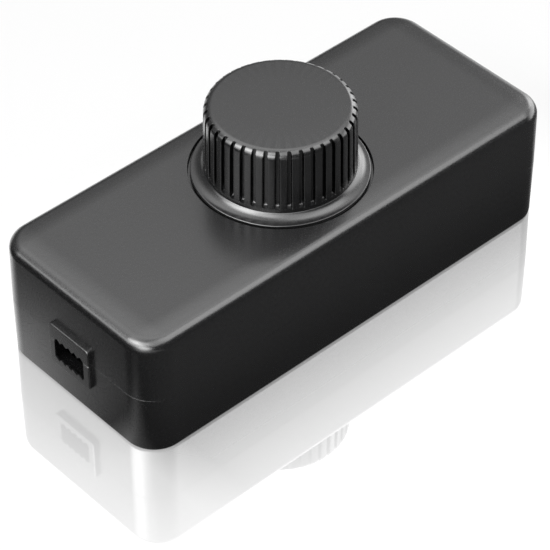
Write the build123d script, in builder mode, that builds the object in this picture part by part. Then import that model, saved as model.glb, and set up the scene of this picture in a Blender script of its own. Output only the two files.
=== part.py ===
import os
from math import acos, degrees, pi, sqrt

from build123d import *

# Case, in millimetres. The origin is the middle of the case's underside, X runs along the case.
case_length = 86.3
case_width = 36.0
case_height = 22.5
seam_height = 10.8
case_corner_radius = 5.3
top_edge_radius = 2.35
bottom_edge_bevel = 0.4
draft_angle = 0.4
wall = 2.0
top_wall = 2.2
floor_thickness = 2.0
seam_bevel = 0.15

# Tongue of the lower shell, which stands in a rabbet of the upper shell
tongue_thickness = 0.9
tongue_height = 1.2
tongue_clearance = 0.1
tongue_top_gap = 0.2
tongue_stop_width = 11.0

# Raised plate and toothed cord slot on each end, split by the seam
plate_width = 9.5
plate_rise = 3.1
plate_drop = 5.0
plate_height = 0.7
plate_corner_radius = 0.7
plate_edge_bevel = 0.15
tooth_count = 5
tooth_pitch = 1.38
tooth_depth = 0.5
slot_rise = 0.14
slot_drop = 3.25
upper_tooth_lean = 0.45
lower_tooth_lean = 0.71

# Case screws, driven from below through counterbored posts
screw_head_radius = 2.25
screw_head_height = 1.5
screw_shank_radius = 1.15
screw_length = 9.0
screw_hole_clearance = 0.15
screw_head_clearance = 0.2
screw_seat_height = 7.2
screw_bite_gap = 0.03
screw_pilot_spare = 1.0
lower_post_radius = 3.7
upper_post_radius = 2.7
post_wall_overlap = 0.15
post_web_thickness = 1.0

# Knob and its skirt
knob_radius = 12.0
knob_base_radius = 12.2
knob_top_height = 35.2
knob_top_edge_radius = 1.3
skirt_radius = 14.25
skirt_rim_rise = 0.15
skirt_rim_bevel = 0.12
skirt_flare_radius = 1.1
skirt_floor_gap = 0.4
rib_count = 40
groove_share = 0.42
groove_depth = 0.5
groove_ledge_rise = 2.2
knob_wall = 2.0
knob_roof = 2.0
hub_radius = 5.0
web_thickness = 1.0
web_count = 4

# Recess of the case top round the skirt
recess_gap = 0.45
recess_depth = 0.8
panel_thickness = 2.0
panel_rim_width = 1.8

# Threaded bushing, nut and washer of the rotary control
bushing_radius = 3.45
bushing_length = 5.5
bushing_hole_clearance = 0.15
bushing_tip_bevel = 0.3
nut_across_flats = 10.0
nut_thickness = 2.0
nut_edge_bevel = 0.45
nut_thread_clearance = 0.05
washer_radius = 6.0
washer_hole_clearance = 0.25
washer_thickness = 0.5

# Body of the rotary control
front_plate_radius = 8.25
front_plate_thickness = 1.2
tab_width = 2.4
tab_thickness = 1.0
tab_height = 1.0
tab_centre_radius = 6.6
tab_clearance = 0.15
can_height = 7.6
can_wall = 0.5
can_window_width = 11.0
can_lug_width = 2.2
can_lug_height = 0.8
can_lug_clearance = 0.1
stop_width = 2.4
stop_depth = 1.5
stop_height = 2.0

# Shaft, clip, rotor and wiper, which turn with the knob
shaft_radius = 3.0
shaft_running_gap = 0.05
shaft_flat_depth = 1.5
shaft_flat_start = 0.7
shaft_flange_radius = 4.0
shaft_flange_gap = 0.1
shaft_stub_radius = 2.0
shaft_tip_bevel = 0.4
knob_fit_gap = 0.03
hub_bushing_gap = 1.0
clip_groove_radius = 2.4
clip_radius = 3.3
clip_thickness = 0.5
clip_gap = 0.1
clip_fit_gap = 0.03
clip_opening = 3.6
rotor_radius = 6.0
rotor_thickness = 3.0
rotor_bore_gap = 0.03
rivet_length = 0.4
rotor_lug_length = 1.1
rotor_lug_width = 3.8
wiper_ring_radius = 5.6
wiper_ring_width = 1.4
wiper_thickness = 0.25
wiper_gap = 0.15
wiper_opening = 1.6

# Track plate and its terminals
track_plate_thickness = 1.2
track_plate_clearance = 0.15
track_plate_bore_gap = 0.4
track_tongue_width = 10.4
track_tongue_reach = 9.6
terminal_pitch = 5.0
terminal_width = 1.2
terminal_thickness = 0.4
terminal_start = 8.6
terminal_reach = 10.6

# Circuit board on its posts
board_length = 58.0
board_width = 27.0
board_thickness = 1.6
board_top_height = 7.6
board_post_spacing_x = 52.0
board_post_spacing_y = 21.6
board_post_radius = 2.3
board_peg_radius = 1.2
board_peg_rise = 0.6
board_hole_clearance = 0.15
board_screw_radius = 1.1
board_screw_length = 5.0
board_screw_head_radius = 2.0
board_screw_head_height = 1.4
board_screw_pilot_spare = 0.3
board_corner_radius = 1.0
lead_hole_clearance = 0.15
lead_tail = 1.4

# Triac, its heat sink and screw
triac_x = 14.2
triac_y = -2.9
triac_width = 10.0
triac_body_length = 9.2
triac_body_height = 4.4
triac_tab_length = 6.3
triac_tab_thickness = 1.3
triac_tab_hole_radius = 1.8
triac_lead_pitch = 2.54
triac_lead_width = 0.8
triac_lead_thickness = 0.5
triac_lead_reach = 2.6
triac_lead_level = 2.3
triac_edge_bevel = 0.5
triac_tab_bevel = 0.8
heat_sink_thickness = 1.5
heat_sink_front_y = -7.0
heat_sink_back_y = 13.0
heat_sink_height = 10.0
heat_sink_screw_radius = 1.45
heat_sink_screw_hole_clearance = 0.05
heat_sink_screw_length = 2.6
heat_sink_screw_head_radius = 2.6
heat_sink_screw_head_height = 1.9

# Other components on the board
film_capacitor_length = 13.0
film_capacitor_width = 4.6
film_capacitor_headroom = 2.2
film_capacitor_x = 0.0
film_capacitor_y = 10.9
film_capacitor_pitch = 10.0
choke_x = -14.2
choke_y = -4.4
choke_core_radius = 2.2
choke_core_length = 13.0
choke_winding_radius = 3.9
choke_winding_length = 10.0
choke_winding_gap = 0.05
choke_pitch = 9.0
fuse_x = -14.2
fuse_y = 8.4
fuse_radius = 4.2
fuse_height = 7.6
fuse_pitch = 5.0
timing_capacitor_x = -8.3
timing_capacitor_y = 9.6
timing_capacitor_length = 7.0
timing_capacitor_width = 2.4
timing_capacitor_height = 6.4
timing_capacitor_pitch = 5.0
resistor_spacing = 12.4
resistor_y = -12.1
resistor_radius = 1.1
resistor_length = 6.2
resistor_pitch = 9.0
diac_x = 15.6
diac_radius = 0.95
diac_length = 4.0
diac_pitch = 7.5
lead_thickness = 0.5
component_edge_bevel = 0.4

# Terminal blocks, cages and screws, one pair for each end
block_x = 24.2
block_depth = 8.0
block_width = 11.0
block_height = 10.0
block_edge_bevel = 0.8
pole_pitch = 5.0
cage_width = 4.0
cage_length = 5.6
cage_height = 4.4
cage_wall = 0.7
cage_clearance = 0.1
cage_floor_thickness = 1.4
cage_back_wall = 1.0
cage_pin_thickness = 0.9
clamp_screw_radius = 1.25
clamp_screw_gap = 0.05
clamp_screw_head_radius = 1.6
clamp_screw_head_height = 1.5
clamp_screw_well_clearance = 0.15
clamp_screw_tip_gap = 0.4
clamp_screw_slot_width = 0.5
clamp_screw_slot_depth = 0.7

# Ribs inside the case
hold_down_rib_width = 1.2
hold_down_rib_length = 9.0
hold_down_rib_gap = 0.15
cord_rib_width = 1.4
cord_rib_length = 10.0
lower_cord_rib_x = 33.0
upper_cord_rib_x = 36.0
cord_rib_bite = 0.3

# Heights that follow from the stack
recess_floor_height = case_height - recess_depth
panel_inner_height = recess_floor_height - panel_thickness
bushing_top_height = panel_inner_height + bushing_length
washer_top_height = recess_floor_height + washer_thickness
front_plate_bottom = panel_inner_height - front_plate_thickness
can_bottom_height = front_plate_bottom - can_height
track_plate_bottom = front_plate_bottom - track_plate_thickness
rotor_top_height = track_plate_bottom - wiper_gap - wiper_thickness
rotor_bottom_height = rotor_top_height - rotor_thickness
skirt_bottom_height = recess_floor_height + skirt_floor_gap
skirt_top_height = case_height + skirt_rim_rise
groove_bottom_height = case_height + groove_ledge_rise
shaft_top_height = knob_top_height - knob_roof
hub_bottom_height = bushing_top_height + hub_bushing_gap
clip_bottom_height = bushing_top_height + clip_gap
flat_bottom_height = bushing_top_height + shaft_flat_start
board_bottom_height = board_top_height - board_thickness
lead_bottom_height = board_bottom_height - lead_tail
block_top_height = board_top_height + block_height
ceiling_height = case_height - top_wall
film_capacitor_top = ceiling_height - film_capacitor_headroom
heat_sink_top = board_top_height + heat_sink_thickness
triac_tab_top = heat_sink_top + triac_tab_thickness
triac_lead_top = heat_sink_top + triac_lead_level + triac_lead_thickness
choke_axis_height = board_top_height + choke_winding_radius
cage_bottom_height = board_top_height + cage_floor_thickness
cage_top_height = cage_bottom_height + cage_height
cord_rib_bottom = seam_height + slot_rise - cord_rib_bite
cord_rib_top = seam_height - slot_drop + cord_rib_bite

# Places that follow from the sizes
slot_width = tooth_count * tooth_pitch
recess_radius = skirt_radius + recess_gap
nut_corner_radius = nut_across_flats / sqrt(3)
panel_boss_radius = recess_radius + panel_rim_width
bushing_hole_radius = bushing_radius + bushing_hole_clearance
bushing_bore_radius = shaft_radius + shaft_running_gap
knob_bore_radius = shaft_radius + knob_fit_gap
flat_offset = shaft_radius - shaft_flat_depth
can_inner_radius = front_plate_radius - can_wall
track_plate_radius = can_inner_radius - track_plate_clearance
triac_back_y = triac_y + triac_body_length / 2 + triac_tab_length
triac_front_y = triac_y - triac_body_length / 2
triac_screw_y = triac_back_y - triac_tab_length / 2
screw_seat_radius = screw_head_radius + screw_head_clearance
post_inset = wall + lower_post_radius - post_wall_overlap
screw_x = case_length / 2 - post_inset
screw_y = case_width / 2 - post_inset
post_web_length = post_inset - wall / 2
screw_hole_radius = screw_shank_radius + screw_hole_clearance
screw_bite_length = screw_seat_height + screw_length - seam_height
rabbet_inset = wall - tongue_thickness - tongue_clearance
tongue_inset = wall - tongue_thickness
groove_width = groove_share * 2 * pi * knob_radius / rib_count
groove_floor_radius = knob_radius - groove_depth
knob_top_face_radius = knob_radius - knob_top_edge_radius
knob_edge_level = knob_top_height - knob_top_edge_radius
knob_edge_angle = degrees(acos((groove_floor_radius - knob_top_face_radius) / knob_top_edge_radius))
lead_hole_width = lead_thickness + 2 * lead_hole_clearance
cage_pin_hole_width = cage_pin_thickness + 2 * lead_hole_clearance
cage_x = block_x - block_depth / 2 + cage_back_wall + cage_clearance + cage_length / 2
end_reach = case_length / 2 + plate_height

screw_grid = GridLocations(2 * screw_x, 2 * screw_y, 2, 2)
seam_plane_down = Plane(origin=(0, 0, seam_height), x_dir=(1, 0, 0), z_dir=(0, 0, -1))
left_end = Plane(origin=(-end_reach, 0, seam_height), x_dir=(0, -1, 0), z_dir=(-1, 0, 0))
right_end = Plane(origin=(end_reach, 0, seam_height), x_dir=(0, 1, 0), z_dir=(1, 0, 0))
end_planes = [left_end, right_end]
board_post_x = board_post_spacing_x / 2
board_post_y = board_post_spacing_y / 2
screwed_posts = [(board_post_x, -board_post_y), (-board_post_x, board_post_y)]
pegged_posts = [(board_post_x, board_post_y), (-board_post_x, -board_post_y)]
pole_grid = GridLocations(2 * cage_x, pole_pitch, 2, 2)


def tooth_row(level, depth, lean):
    """Points of one toothed side of the cord slot, from left to right."""
    points = [(-slot_width / 2, level)]
    for number in range(tooth_count):
        left = -slot_width / 2 + number * tooth_pitch
        points.append((left + lean * tooth_pitch, level + depth))
        points.append((left + tooth_pitch, level))
    return points


def slot_half(level, depth, lean):
    """Outline of the half of the cord slot on one side of the seam."""
    return [(-slot_width / 2, 0), *tooth_row(level, depth, lean), (slot_width / 2, 0)]


def pan_screw_outline(head_radius, head_height, shank_radius, length):
    """Half section of a pan-head screw whose head stands on the level 0 and whose shank hangs down."""
    return [
        (0, head_height),
        (head_radius * 0.6, head_height),
        (head_radius, head_height * 0.5),
        (head_radius, 0),
        (shank_radius, 0),
        (shank_radius, -length),
        (0, -length),
    ]


def axial_lead_places(x, y, pitch):
    """Places of the two leads of a component that lies or stands along X."""
    return [(x - pitch / 2, y), (x + pitch / 2, y)]


def axial_wire_outline(x, pitch, axis_height):
    """Side view of the bent lead of a lying component: up through the board, along its axis and down."""
    outer = pitch / 2 + lead_thickness / 2
    inner = pitch / 2 - lead_thickness / 2
    return [
        (x - outer, lead_bottom_height),
        (x - outer, axis_height + lead_thickness / 2),
        (x + outer, axis_height + lead_thickness / 2),
        (x + outer, lead_bottom_height),
        (x + inner, lead_bottom_height),
        (x + inner, axis_height - lead_thickness / 2),
        (x - inner, axis_height - lead_thickness / 2),
        (x - inner, lead_bottom_height),
    ]


resistor_places = [(-resistor_spacing / 2, resistor_y), (resistor_spacing / 2, resistor_y)]
film_capacitor_leads = axial_lead_places(film_capacitor_x, film_capacitor_y, film_capacitor_pitch)
diac_leads = axial_lead_places(diac_x, resistor_y, diac_pitch)
resistor_leads = [lead for x, y in resistor_places for lead in axial_lead_places(x, y, resistor_pitch)]
choke_leads = [(choke_x, choke_y - choke_pitch / 2), (choke_x, choke_y + choke_pitch / 2)]
fuse_leads = axial_lead_places(fuse_x, fuse_y, fuse_pitch)
timing_capacitor_leads = [
    (timing_capacitor_x, timing_capacitor_y - timing_capacitor_pitch / 2),
    (timing_capacitor_x, timing_capacitor_y + timing_capacitor_pitch / 2),
]
wire_leads = [
    *film_capacitor_leads,
    *diac_leads,
    *resistor_leads,
    *choke_leads,
    *fuse_leads,
    *timing_capacitor_leads,
]
triac_lead_places = [
    (triac_x + step * triac_lead_pitch, triac_front_y - triac_lead_reach) for step in (-1, 0, 1)
]
control_terminal_places = [
    (step * terminal_pitch, -terminal_reach + terminal_thickness / 2) for step in (-1, 0, 1)
]

os.makedirs("parts", exist_ok=True)


# Upper shell
with BuildPart() as upper_shell:
    with BuildSketch(Plane.XY.offset(seam_height)):
        RectangleRounded(case_length, case_width, case_corner_radius)
    extrude(amount=case_height - seam_height, taper=draft_angle)
    fillet(upper_shell.faces().sort_by(Axis.Z)[-1].edges(), radius=top_edge_radius)
    for end_plane in end_planes:
        with BuildSketch(end_plane):
            with Locations((0, plate_rise / 2)):
                Rectangle(plate_width, plate_rise)
            fillet(vertices().group_by(Axis.Y)[-1], radius=plate_corner_radius)
        extrude(amount=-plate_height - wall / 2)
    for plate_face in (upper_shell.faces().sort_by(Axis.X)[0], upper_shell.faces().sort_by(Axis.X)[-1]):
        chamfer(plate_face.edges().sort_by(Axis.Z)[1:], length=plate_edge_bevel)
    chamfer(upper_shell.faces().sort_by(Axis.Z)[0].outer_wire().edges(), length=seam_bevel)
    with BuildSketch(Plane.XY.offset(seam_height)):
        RectangleRounded(case_length - 2 * wall, case_width - 2 * wall, case_corner_radius - wall)
    extrude(amount=ceiling_height - seam_height, taper=draft_angle, mode=Mode.SUBTRACT)
    with BuildSketch(Plane.XY.offset(seam_height)):
        RectangleRounded(
            case_length - 2 * rabbet_inset, case_width - 2 * rabbet_inset, case_corner_radius - rabbet_inset
        )
        Rectangle(case_length, tongue_stop_width, mode=Mode.SUBTRACT)
    extrude(amount=tongue_height + tongue_top_gap, mode=Mode.SUBTRACT)
    with BuildSketch(Plane.XY.offset(panel_inner_height)):
        Circle(panel_boss_radius)
    extrude(amount=case_height - top_wall / 2 - panel_inner_height)
    with BuildSketch(Plane.XY.offset(seam_height)):
        with screw_grid:
            Circle(upper_post_radius)
    extrude(amount=case_height - top_wall / 2 - seam_height)
    with BuildSketch(Plane.XY.offset(seam_height + tongue_height + tongue_top_gap)):
        with GridLocations(2 * screw_x + post_web_length, 2 * screw_y, 2, 2):
            Rectangle(post_web_length, post_web_thickness)
        with GridLocations(2 * screw_x, 2 * screw_y + post_web_length, 2, 2):
            Rectangle(post_web_thickness, post_web_length)
    extrude(amount=case_height - top_wall / 2 - seam_height - tongue_height - tongue_top_gap)
    with BuildSketch(Plane.XY.offset(block_top_height + hold_down_rib_gap)):
        with Locations((-block_x, 0), (block_x, 0)):
            Rectangle(hold_down_rib_width, hold_down_rib_length)
    extrude(amount=case_height - top_wall / 2 - block_top_height - hold_down_rib_gap)
    with BuildSketch(Plane.XY.offset(cord_rib_bottom)):
        with Locations((-upper_cord_rib_x, 0), (upper_cord_rib_x, 0)):
            Rectangle(cord_rib_width, cord_rib_length)
    extrude(amount=case_height - top_wall / 2 - cord_rib_bottom)
    with BuildSketch(Plane.XY.offset(seam_height)):
        with screw_grid:
            Circle(screw_shank_radius + screw_bite_gap)
    extrude(amount=screw_bite_length + screw_pilot_spare, mode=Mode.SUBTRACT)
    with BuildSketch(Plane.XY.offset(recess_floor_height)):
        Circle(recess_radius)
    extrude(amount=recess_depth, mode=Mode.SUBTRACT)
    with BuildSketch(Plane.XY.offset(panel_inner_height)):
        Circle(bushing_hole_radius)
    extrude(amount=panel_thickness, mode=Mode.SUBTRACT)
    with BuildSketch(Plane.XY.offset(panel_inner_height)):
        with Locations((tab_centre_radius, 0)):
            Rectangle(tab_thickness + 2 * tab_clearance, tab_width + 2 * tab_clearance)
    extrude(amount=tab_height + tab_clearance, mode=Mode.SUBTRACT)
    for end_plane in end_planes:
        with BuildSketch(end_plane):
            with BuildLine():
                Polyline(slot_half(slot_rise, tooth_depth, upper_tooth_lean), close=True)
            make_face()
        extrude(amount=-plate_height - wall - tongue_thickness, mode=Mode.SUBTRACT)
upper_shell.part.label = "upper_shell"
export_step(upper_shell.part, "parts/upper_shell.step")


# Lower shell
with BuildPart() as lower_shell:
    with BuildSketch(seam_plane_down):
        RectangleRounded(case_length, case_width, case_corner_radius)
    extrude(amount=seam_height, taper=draft_angle)
    chamfer(lower_shell.faces().sort_by(Axis.Z)[0].edges(), length=bottom_edge_bevel)
    for end_plane in end_planes:
        with BuildSketch(end_plane):
            with Locations((0, -plate_drop / 2)):
                Rectangle(plate_width, plate_drop)
            fillet(vertices().group_by(Axis.Y)[0], radius=plate_corner_radius)
        extrude(amount=-plate_height - wall / 2)
    for plate_face in (lower_shell.faces().sort_by(Axis.X)[0], lower_shell.faces().sort_by(Axis.X)[-1]):
        chamfer(plate_face.edges().sort_by(Axis.Z)[:-1], length=plate_edge_bevel)
    chamfer(lower_shell.faces().sort_by(Axis.Z)[-1].outer_wire().edges(), length=seam_bevel)
    with BuildSketch(seam_plane_down):
        RectangleRounded(case_length - 2 * wall, case_width - 2 * wall, case_corner_radius - wall)
    extrude(amount=seam_height - floor_thickness, taper=draft_angle, mode=Mode.SUBTRACT)
    with BuildSketch(Plane.XY.offset(seam_height)):
        RectangleRounded(
            case_length - 2 * tongue_inset, case_width - 2 * tongue_inset, case_corner_radius - tongue_inset
        )
        RectangleRounded(
            case_length - 2 * wall, case_width - 2 * wall, case_corner_radius - wall, mode=Mode.SUBTRACT
        )
        Rectangle(case_length, tongue_stop_width, mode=Mode.SUBTRACT)
    extrude(amount=tongue_height)
    with BuildSketch(Plane.XY.offset(floor_thickness / 2)):
        with screw_grid:
            Circle(lower_post_radius)
    extrude(amount=seam_height - floor_thickness / 2)
    with BuildSketch(Plane.XY.offset(floor_thickness / 2)):
        with Locations(*screwed_posts, *pegged_posts):
            Circle(board_post_radius)
    extrude(amount=board_bottom_height - floor_thickness / 2)
    with BuildSketch(Plane.XY.offset(floor_thickness)):
        with Locations(*pegged_posts):
            Circle(board_peg_radius)
    extrude(amount=board_top_height + board_peg_rise - floor_thickness)
    with BuildSketch(Plane.XY.offset(floor_thickness / 2)):
        with Locations((-lower_cord_rib_x, 0), (lower_cord_rib_x, 0)):
            Rectangle(cord_rib_width, cord_rib_length)
    extrude(amount=cord_rib_top - floor_thickness / 2)
    with BuildSketch(Plane.XY):
        with screw_grid:
            Circle(screw_hole_radius)
    extrude(amount=seam_height, mode=Mode.SUBTRACT)
    with BuildSketch(Plane.XY):
        with screw_grid:
            Circle(screw_seat_radius)
    extrude(amount=screw_seat_height, mode=Mode.SUBTRACT)
    with BuildSketch(Plane.XY.offset(board_bottom_height)):
        with Locations(*screwed_posts):
            Circle(board_screw_radius + screw_bite_gap)
    extrude(
        amount=board_thickness - board_screw_length - board_screw_pilot_spare, mode=Mode.SUBTRACT
    )
    for end_plane in end_planes:
        with BuildSketch(end_plane):
            with BuildLine():
                Polyline(slot_half(-slot_drop, -tooth_depth, lower_tooth_lean), close=True)
            make_face()
        extrude(amount=-plate_height - wall - tongue_thickness, mode=Mode.SUBTRACT)
lower_shell.part.label = "lower_shell"
export_step(lower_shell.part, "parts/lower_shell.step")


# Case screws, heads downwards in the counterbores
with BuildPart() as case_screws:
    with BuildSketch(Plane(origin=(screw_x, screw_y, screw_seat_height), x_dir=(1, 0, 0), z_dir=(0, 1, 0))):
        with BuildLine():
            Polyline(
                pan_screw_outline(screw_head_radius, screw_head_height, screw_shank_radius, screw_length),
                close=True,
            )
        make_face()
    revolve(axis=Axis((screw_x, screw_y, 0), (0, 0, 1)))
    mirror(about=Plane.YZ)
    mirror(about=Plane.XZ)
case_screws.part.label = "case_screws"
export_step(case_screws.part, "parts/case_screws.step")


# Knob: skirt, flare and ribbed grip in one moulding, hollow from below, with a hub for the shaft
with BuildPart() as knob:
    with BuildSketch(Plane.XZ):
        with BuildLine():
            rib_edge = CenterArc(
                (knob_top_face_radius, knob_edge_level), knob_top_edge_radius, 0, knob_edge_angle
            )
            Polyline(
                rib_edge @ 1,
                (knob_top_face_radius, knob_top_height),
                (0, knob_top_height),
                (0, skirt_bottom_height),
                (skirt_radius, skirt_bottom_height),
                (skirt_radius, skirt_top_height),
                (knob_base_radius, skirt_top_height),
                (knob_base_radius, groove_bottom_height),
                rib_edge @ 0,
            )
        make_face()
        skirt_rim = vertices().sort_by_distance((skirt_radius, skirt_top_height))[0]
        chamfer(skirt_rim, length=skirt_rim_bevel)
        skirt_root = vertices().sort_by_distance((knob_base_radius, skirt_top_height))[0]
        fillet(skirt_root, radius=skirt_flare_radius)
    revolve(axis=Axis.Z)
    with BuildSketch(Plane.XY.offset(groove_bottom_height)):
        with PolarLocations(knob_radius, rib_count):
            Rectangle(4 * groove_depth, groove_width)
        Circle(groove_floor_radius, mode=Mode.SUBTRACT)
    extrude(amount=knob_top_height - groove_bottom_height, mode=Mode.SUBTRACT)
    with BuildSketch(Plane.XY.offset(skirt_bottom_height)):
        Circle(knob_radius - knob_wall)
    extrude(amount=shaft_top_height - skirt_bottom_height, taper=draft_angle, mode=Mode.SUBTRACT)
    with BuildSketch(Plane.XY.offset(hub_bottom_height)):
        Circle(hub_radius)
        with PolarLocations((knob_radius - knob_wall) / 2, web_count):
            Rectangle(knob_radius - knob_wall, web_thickness)
    extrude(amount=shaft_top_height + knob_roof / 2 - hub_bottom_height)
    with BuildSketch(Plane.XY.offset(hub_bottom_height)):
        Circle(knob_bore_radius)
        with Locations((flat_offset + knob_fit_gap + knob_bore_radius, 0)):
            Rectangle(2 * knob_bore_radius, 2 * knob_bore_radius, mode=Mode.SUBTRACT)
    extrude(amount=shaft_top_height - hub_bottom_height, mode=Mode.SUBTRACT)
knob.part.label = "knob"
export_step(knob.part, "parts/knob.step")


# Hexagon nut on the bushing
with BuildPart() as hex_nut:
    with BuildSketch(Plane.XY.offset(washer_top_height)):
        RegularPolygon(nut_across_flats / 2, 6, major_radius=False)
        Circle(bushing_radius + nut_thread_clearance, mode=Mode.SUBTRACT)
    extrude(amount=nut_thickness)
    with BuildSketch(Plane.XZ):
        with BuildLine():
            Polyline(
                (0, washer_top_height),
                (nut_across_flats / 2, washer_top_height),
                (nut_corner_radius, washer_top_height + nut_edge_bevel),
                (nut_corner_radius, washer_top_height + nut_thickness - nut_edge_bevel),
                (nut_across_flats / 2, washer_top_height + nut_thickness),
                (0, washer_top_height + nut_thickness),
                close=True,
            )
        make_face()
    revolve(axis=Axis.Z, mode=Mode.INTERSECT)
hex_nut.part.label = "hex_nut"
export_step(hex_nut.part, "parts/hex_nut.step")


# Flat washer on the recess floor
with BuildPart() as flat_washer:
    with BuildSketch(Plane.XY.offset(recess_floor_height)):
        Circle(washer_radius)
        Circle(bushing_radius + washer_hole_clearance, mode=Mode.SUBTRACT)
    extrude(amount=washer_thickness)
flat_washer.part.label = "flat_washer"
export_step(flat_washer.part, "parts/flat_washer.step")


# Front plate and threaded bushing of the rotary control, with the tab that stops it turning
with BuildPart() as pot_bushing:
    with BuildSketch(Plane.XY.offset(front_plate_bottom)):
        Circle(front_plate_radius)
        with PolarLocations(front_plate_radius, 4, start_angle=45):
            Rectangle(
                2 * (can_wall + can_lug_clearance), can_lug_width + 2 * can_lug_clearance, mode=Mode.SUBTRACT
            )
    extrude(amount=front_plate_thickness)
    with BuildSketch(Plane.XY.offset(panel_inner_height)):
        Circle(bushing_radius)
    extrude(amount=bushing_length)
    chamfer(pot_bushing.faces().sort_by(Axis.Z)[-1].edges(), length=bushing_tip_bevel)
    with BuildSketch(Plane.XY.offset(panel_inner_height)):
        with Locations((tab_centre_radius, 0)):
            Rectangle(tab_thickness, tab_width)
    extrude(amount=tab_height)
    with BuildSketch(Plane.XY.offset(front_plate_bottom)):
        Circle(bushing_bore_radius)
    extrude(amount=bushing_length + front_plate_thickness, mode=Mode.SUBTRACT)
pot_bushing.part.label = "pot_bushing"
export_step(pot_bushing.part, "parts/pot_bushing.step")


# Stamped can of the rotary control, with lugs in the front plate's notches and the inner stop
with BuildPart() as pot_cover:
    with BuildSketch(Plane.XY.offset(can_bottom_height)):
        Circle(front_plate_radius)
    extrude(amount=can_height)
    with BuildSketch(Plane.XY.offset(can_bottom_height + can_wall)):
        Circle(can_inner_radius)
    extrude(amount=can_height - can_wall, mode=Mode.SUBTRACT)
    with BuildSketch(Plane.XY.offset(track_plate_bottom - track_plate_clearance)):
        with Locations((0, -front_plate_radius)):
            Rectangle(can_window_width, front_plate_radius)
    extrude(amount=track_plate_thickness + track_plate_clearance, mode=Mode.SUBTRACT)
    with BuildSketch(Plane.XY.offset(front_plate_bottom)):
        with PolarLocations(front_plate_radius, 4, start_angle=45):
            Rectangle(2 * can_wall, can_lug_width)
        Circle(front_plate_radius, mode=Mode.INTERSECT)
    extrude(amount=can_lug_height)
    with BuildSketch(Plane.XY.offset(rotor_bottom_height)):
        with Locations((0, -can_inner_radius)):
            Rectangle(stop_width, 2 * stop_depth)
        Circle(can_inner_radius + can_wall / 2, mode=Mode.INTERSECT)
    extrude(amount=stop_height)
pot_cover.part.label = "pot_cover"
export_step(pot_cover.part, "parts/pot_cover.step")


# Control shaft: stub in the rotor, flange under the front plate, clip groove and D flat
with BuildPart() as pot_shaft:
    with BuildSketch(Plane.XZ):
        with BuildLine():
            Polyline(
                (0, rotor_bottom_height - rivet_length),
                (shaft_stub_radius, rotor_bottom_height - rivet_length),
                (shaft_stub_radius, rotor_top_height),
                (shaft_flange_radius, rotor_top_height),
                (shaft_flange_radius, front_plate_bottom - shaft_flange_gap),
                (shaft_radius, front_plate_bottom - shaft_flange_gap),
                (shaft_radius, clip_bottom_height),
                (clip_groove_radius, clip_bottom_height),
                (clip_groove_radius, clip_bottom_height + clip_thickness + clip_fit_gap),
                (shaft_radius, clip_bottom_height + clip_thickness + clip_fit_gap),
                (shaft_radius, shaft_top_height - shaft_tip_bevel),
                (shaft_radius - shaft_tip_bevel, shaft_top_height),
                (0, shaft_top_height),
                close=True,
            )
        make_face()
    revolve(axis=Axis.Z)
    with BuildSketch(Plane.XY.offset(flat_bottom_height)):
        with Locations((flat_offset + shaft_radius, 0)):
            Rectangle(2 * shaft_radius, 2 * shaft_radius)
    extrude(amount=shaft_top_height - flat_bottom_height, mode=Mode.SUBTRACT)
pot_shaft.part.label = "pot_shaft"
export_step(pot_shaft.part, "parts/pot_shaft.step")


# Open clip in the shaft's groove, just above the bushing
with BuildPart() as shaft_clip:
    with BuildSketch(Plane.XY.offset(clip_bottom_height)):
        Circle(clip_radius)
        Circle(clip_groove_radius + clip_fit_gap, mode=Mode.SUBTRACT)
        with Locations((0, clip_radius)):
            Rectangle(clip_opening, 2 * clip_radius, mode=Mode.SUBTRACT)
    extrude(amount=clip_thickness)
shaft_clip.part.label = "shaft_clip"
export_step(shaft_clip.part, "parts/shaft_clip.step")


# Rotor on the shaft's stub, with the lug that meets the can's stop
with BuildPart() as pot_rotor:
    with BuildSketch(Plane.XY.offset(rotor_bottom_height)):
        Circle(rotor_radius)
        with Locations((0, (rotor_radius + rotor_lug_length) / 2)):
            Rectangle(rotor_lug_width, rotor_radius + rotor_lug_length)
        Circle(shaft_stub_radius + rotor_bore_gap, mode=Mode.SUBTRACT)
    extrude(amount=rotor_thickness)
pot_rotor.part.label = "pot_rotor"
export_step(pot_rotor.part, "parts/pot_rotor.step")


# Wiper spring, an open ring on the rotor
with BuildPart() as pot_wiper:
    with BuildSketch(Plane.XY.offset(rotor_top_height)):
        Circle(wiper_ring_radius)
        Circle(wiper_ring_radius - wiper_ring_width, mode=Mode.SUBTRACT)
        with Locations((0, wiper_ring_radius)):
            Rectangle(wiper_opening, 2 * wiper_ring_radius, mode=Mode.SUBTRACT)
    extrude(amount=wiper_thickness)
pot_wiper.part.label = "pot_wiper"
export_step(pot_wiper.part, "parts/pot_wiper.step")


# Track plate under the front plate, with its tongue through the can's window
with BuildPart() as pot_track_plate:
    with BuildSketch(Plane.XY.offset(track_plate_bottom)):
        Circle(track_plate_radius)
        with Locations((0, -track_tongue_reach / 2)):
            Rectangle(track_tongue_width, track_tongue_reach)
        Circle(shaft_flange_radius + track_plate_bore_gap, mode=Mode.SUBTRACT)
    extrude(amount=track_plate_thickness)
pot_track_plate.part.label = "pot_track_plate"
export_step(pot_track_plate.part, "parts/pot_track_plate.step")


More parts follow.
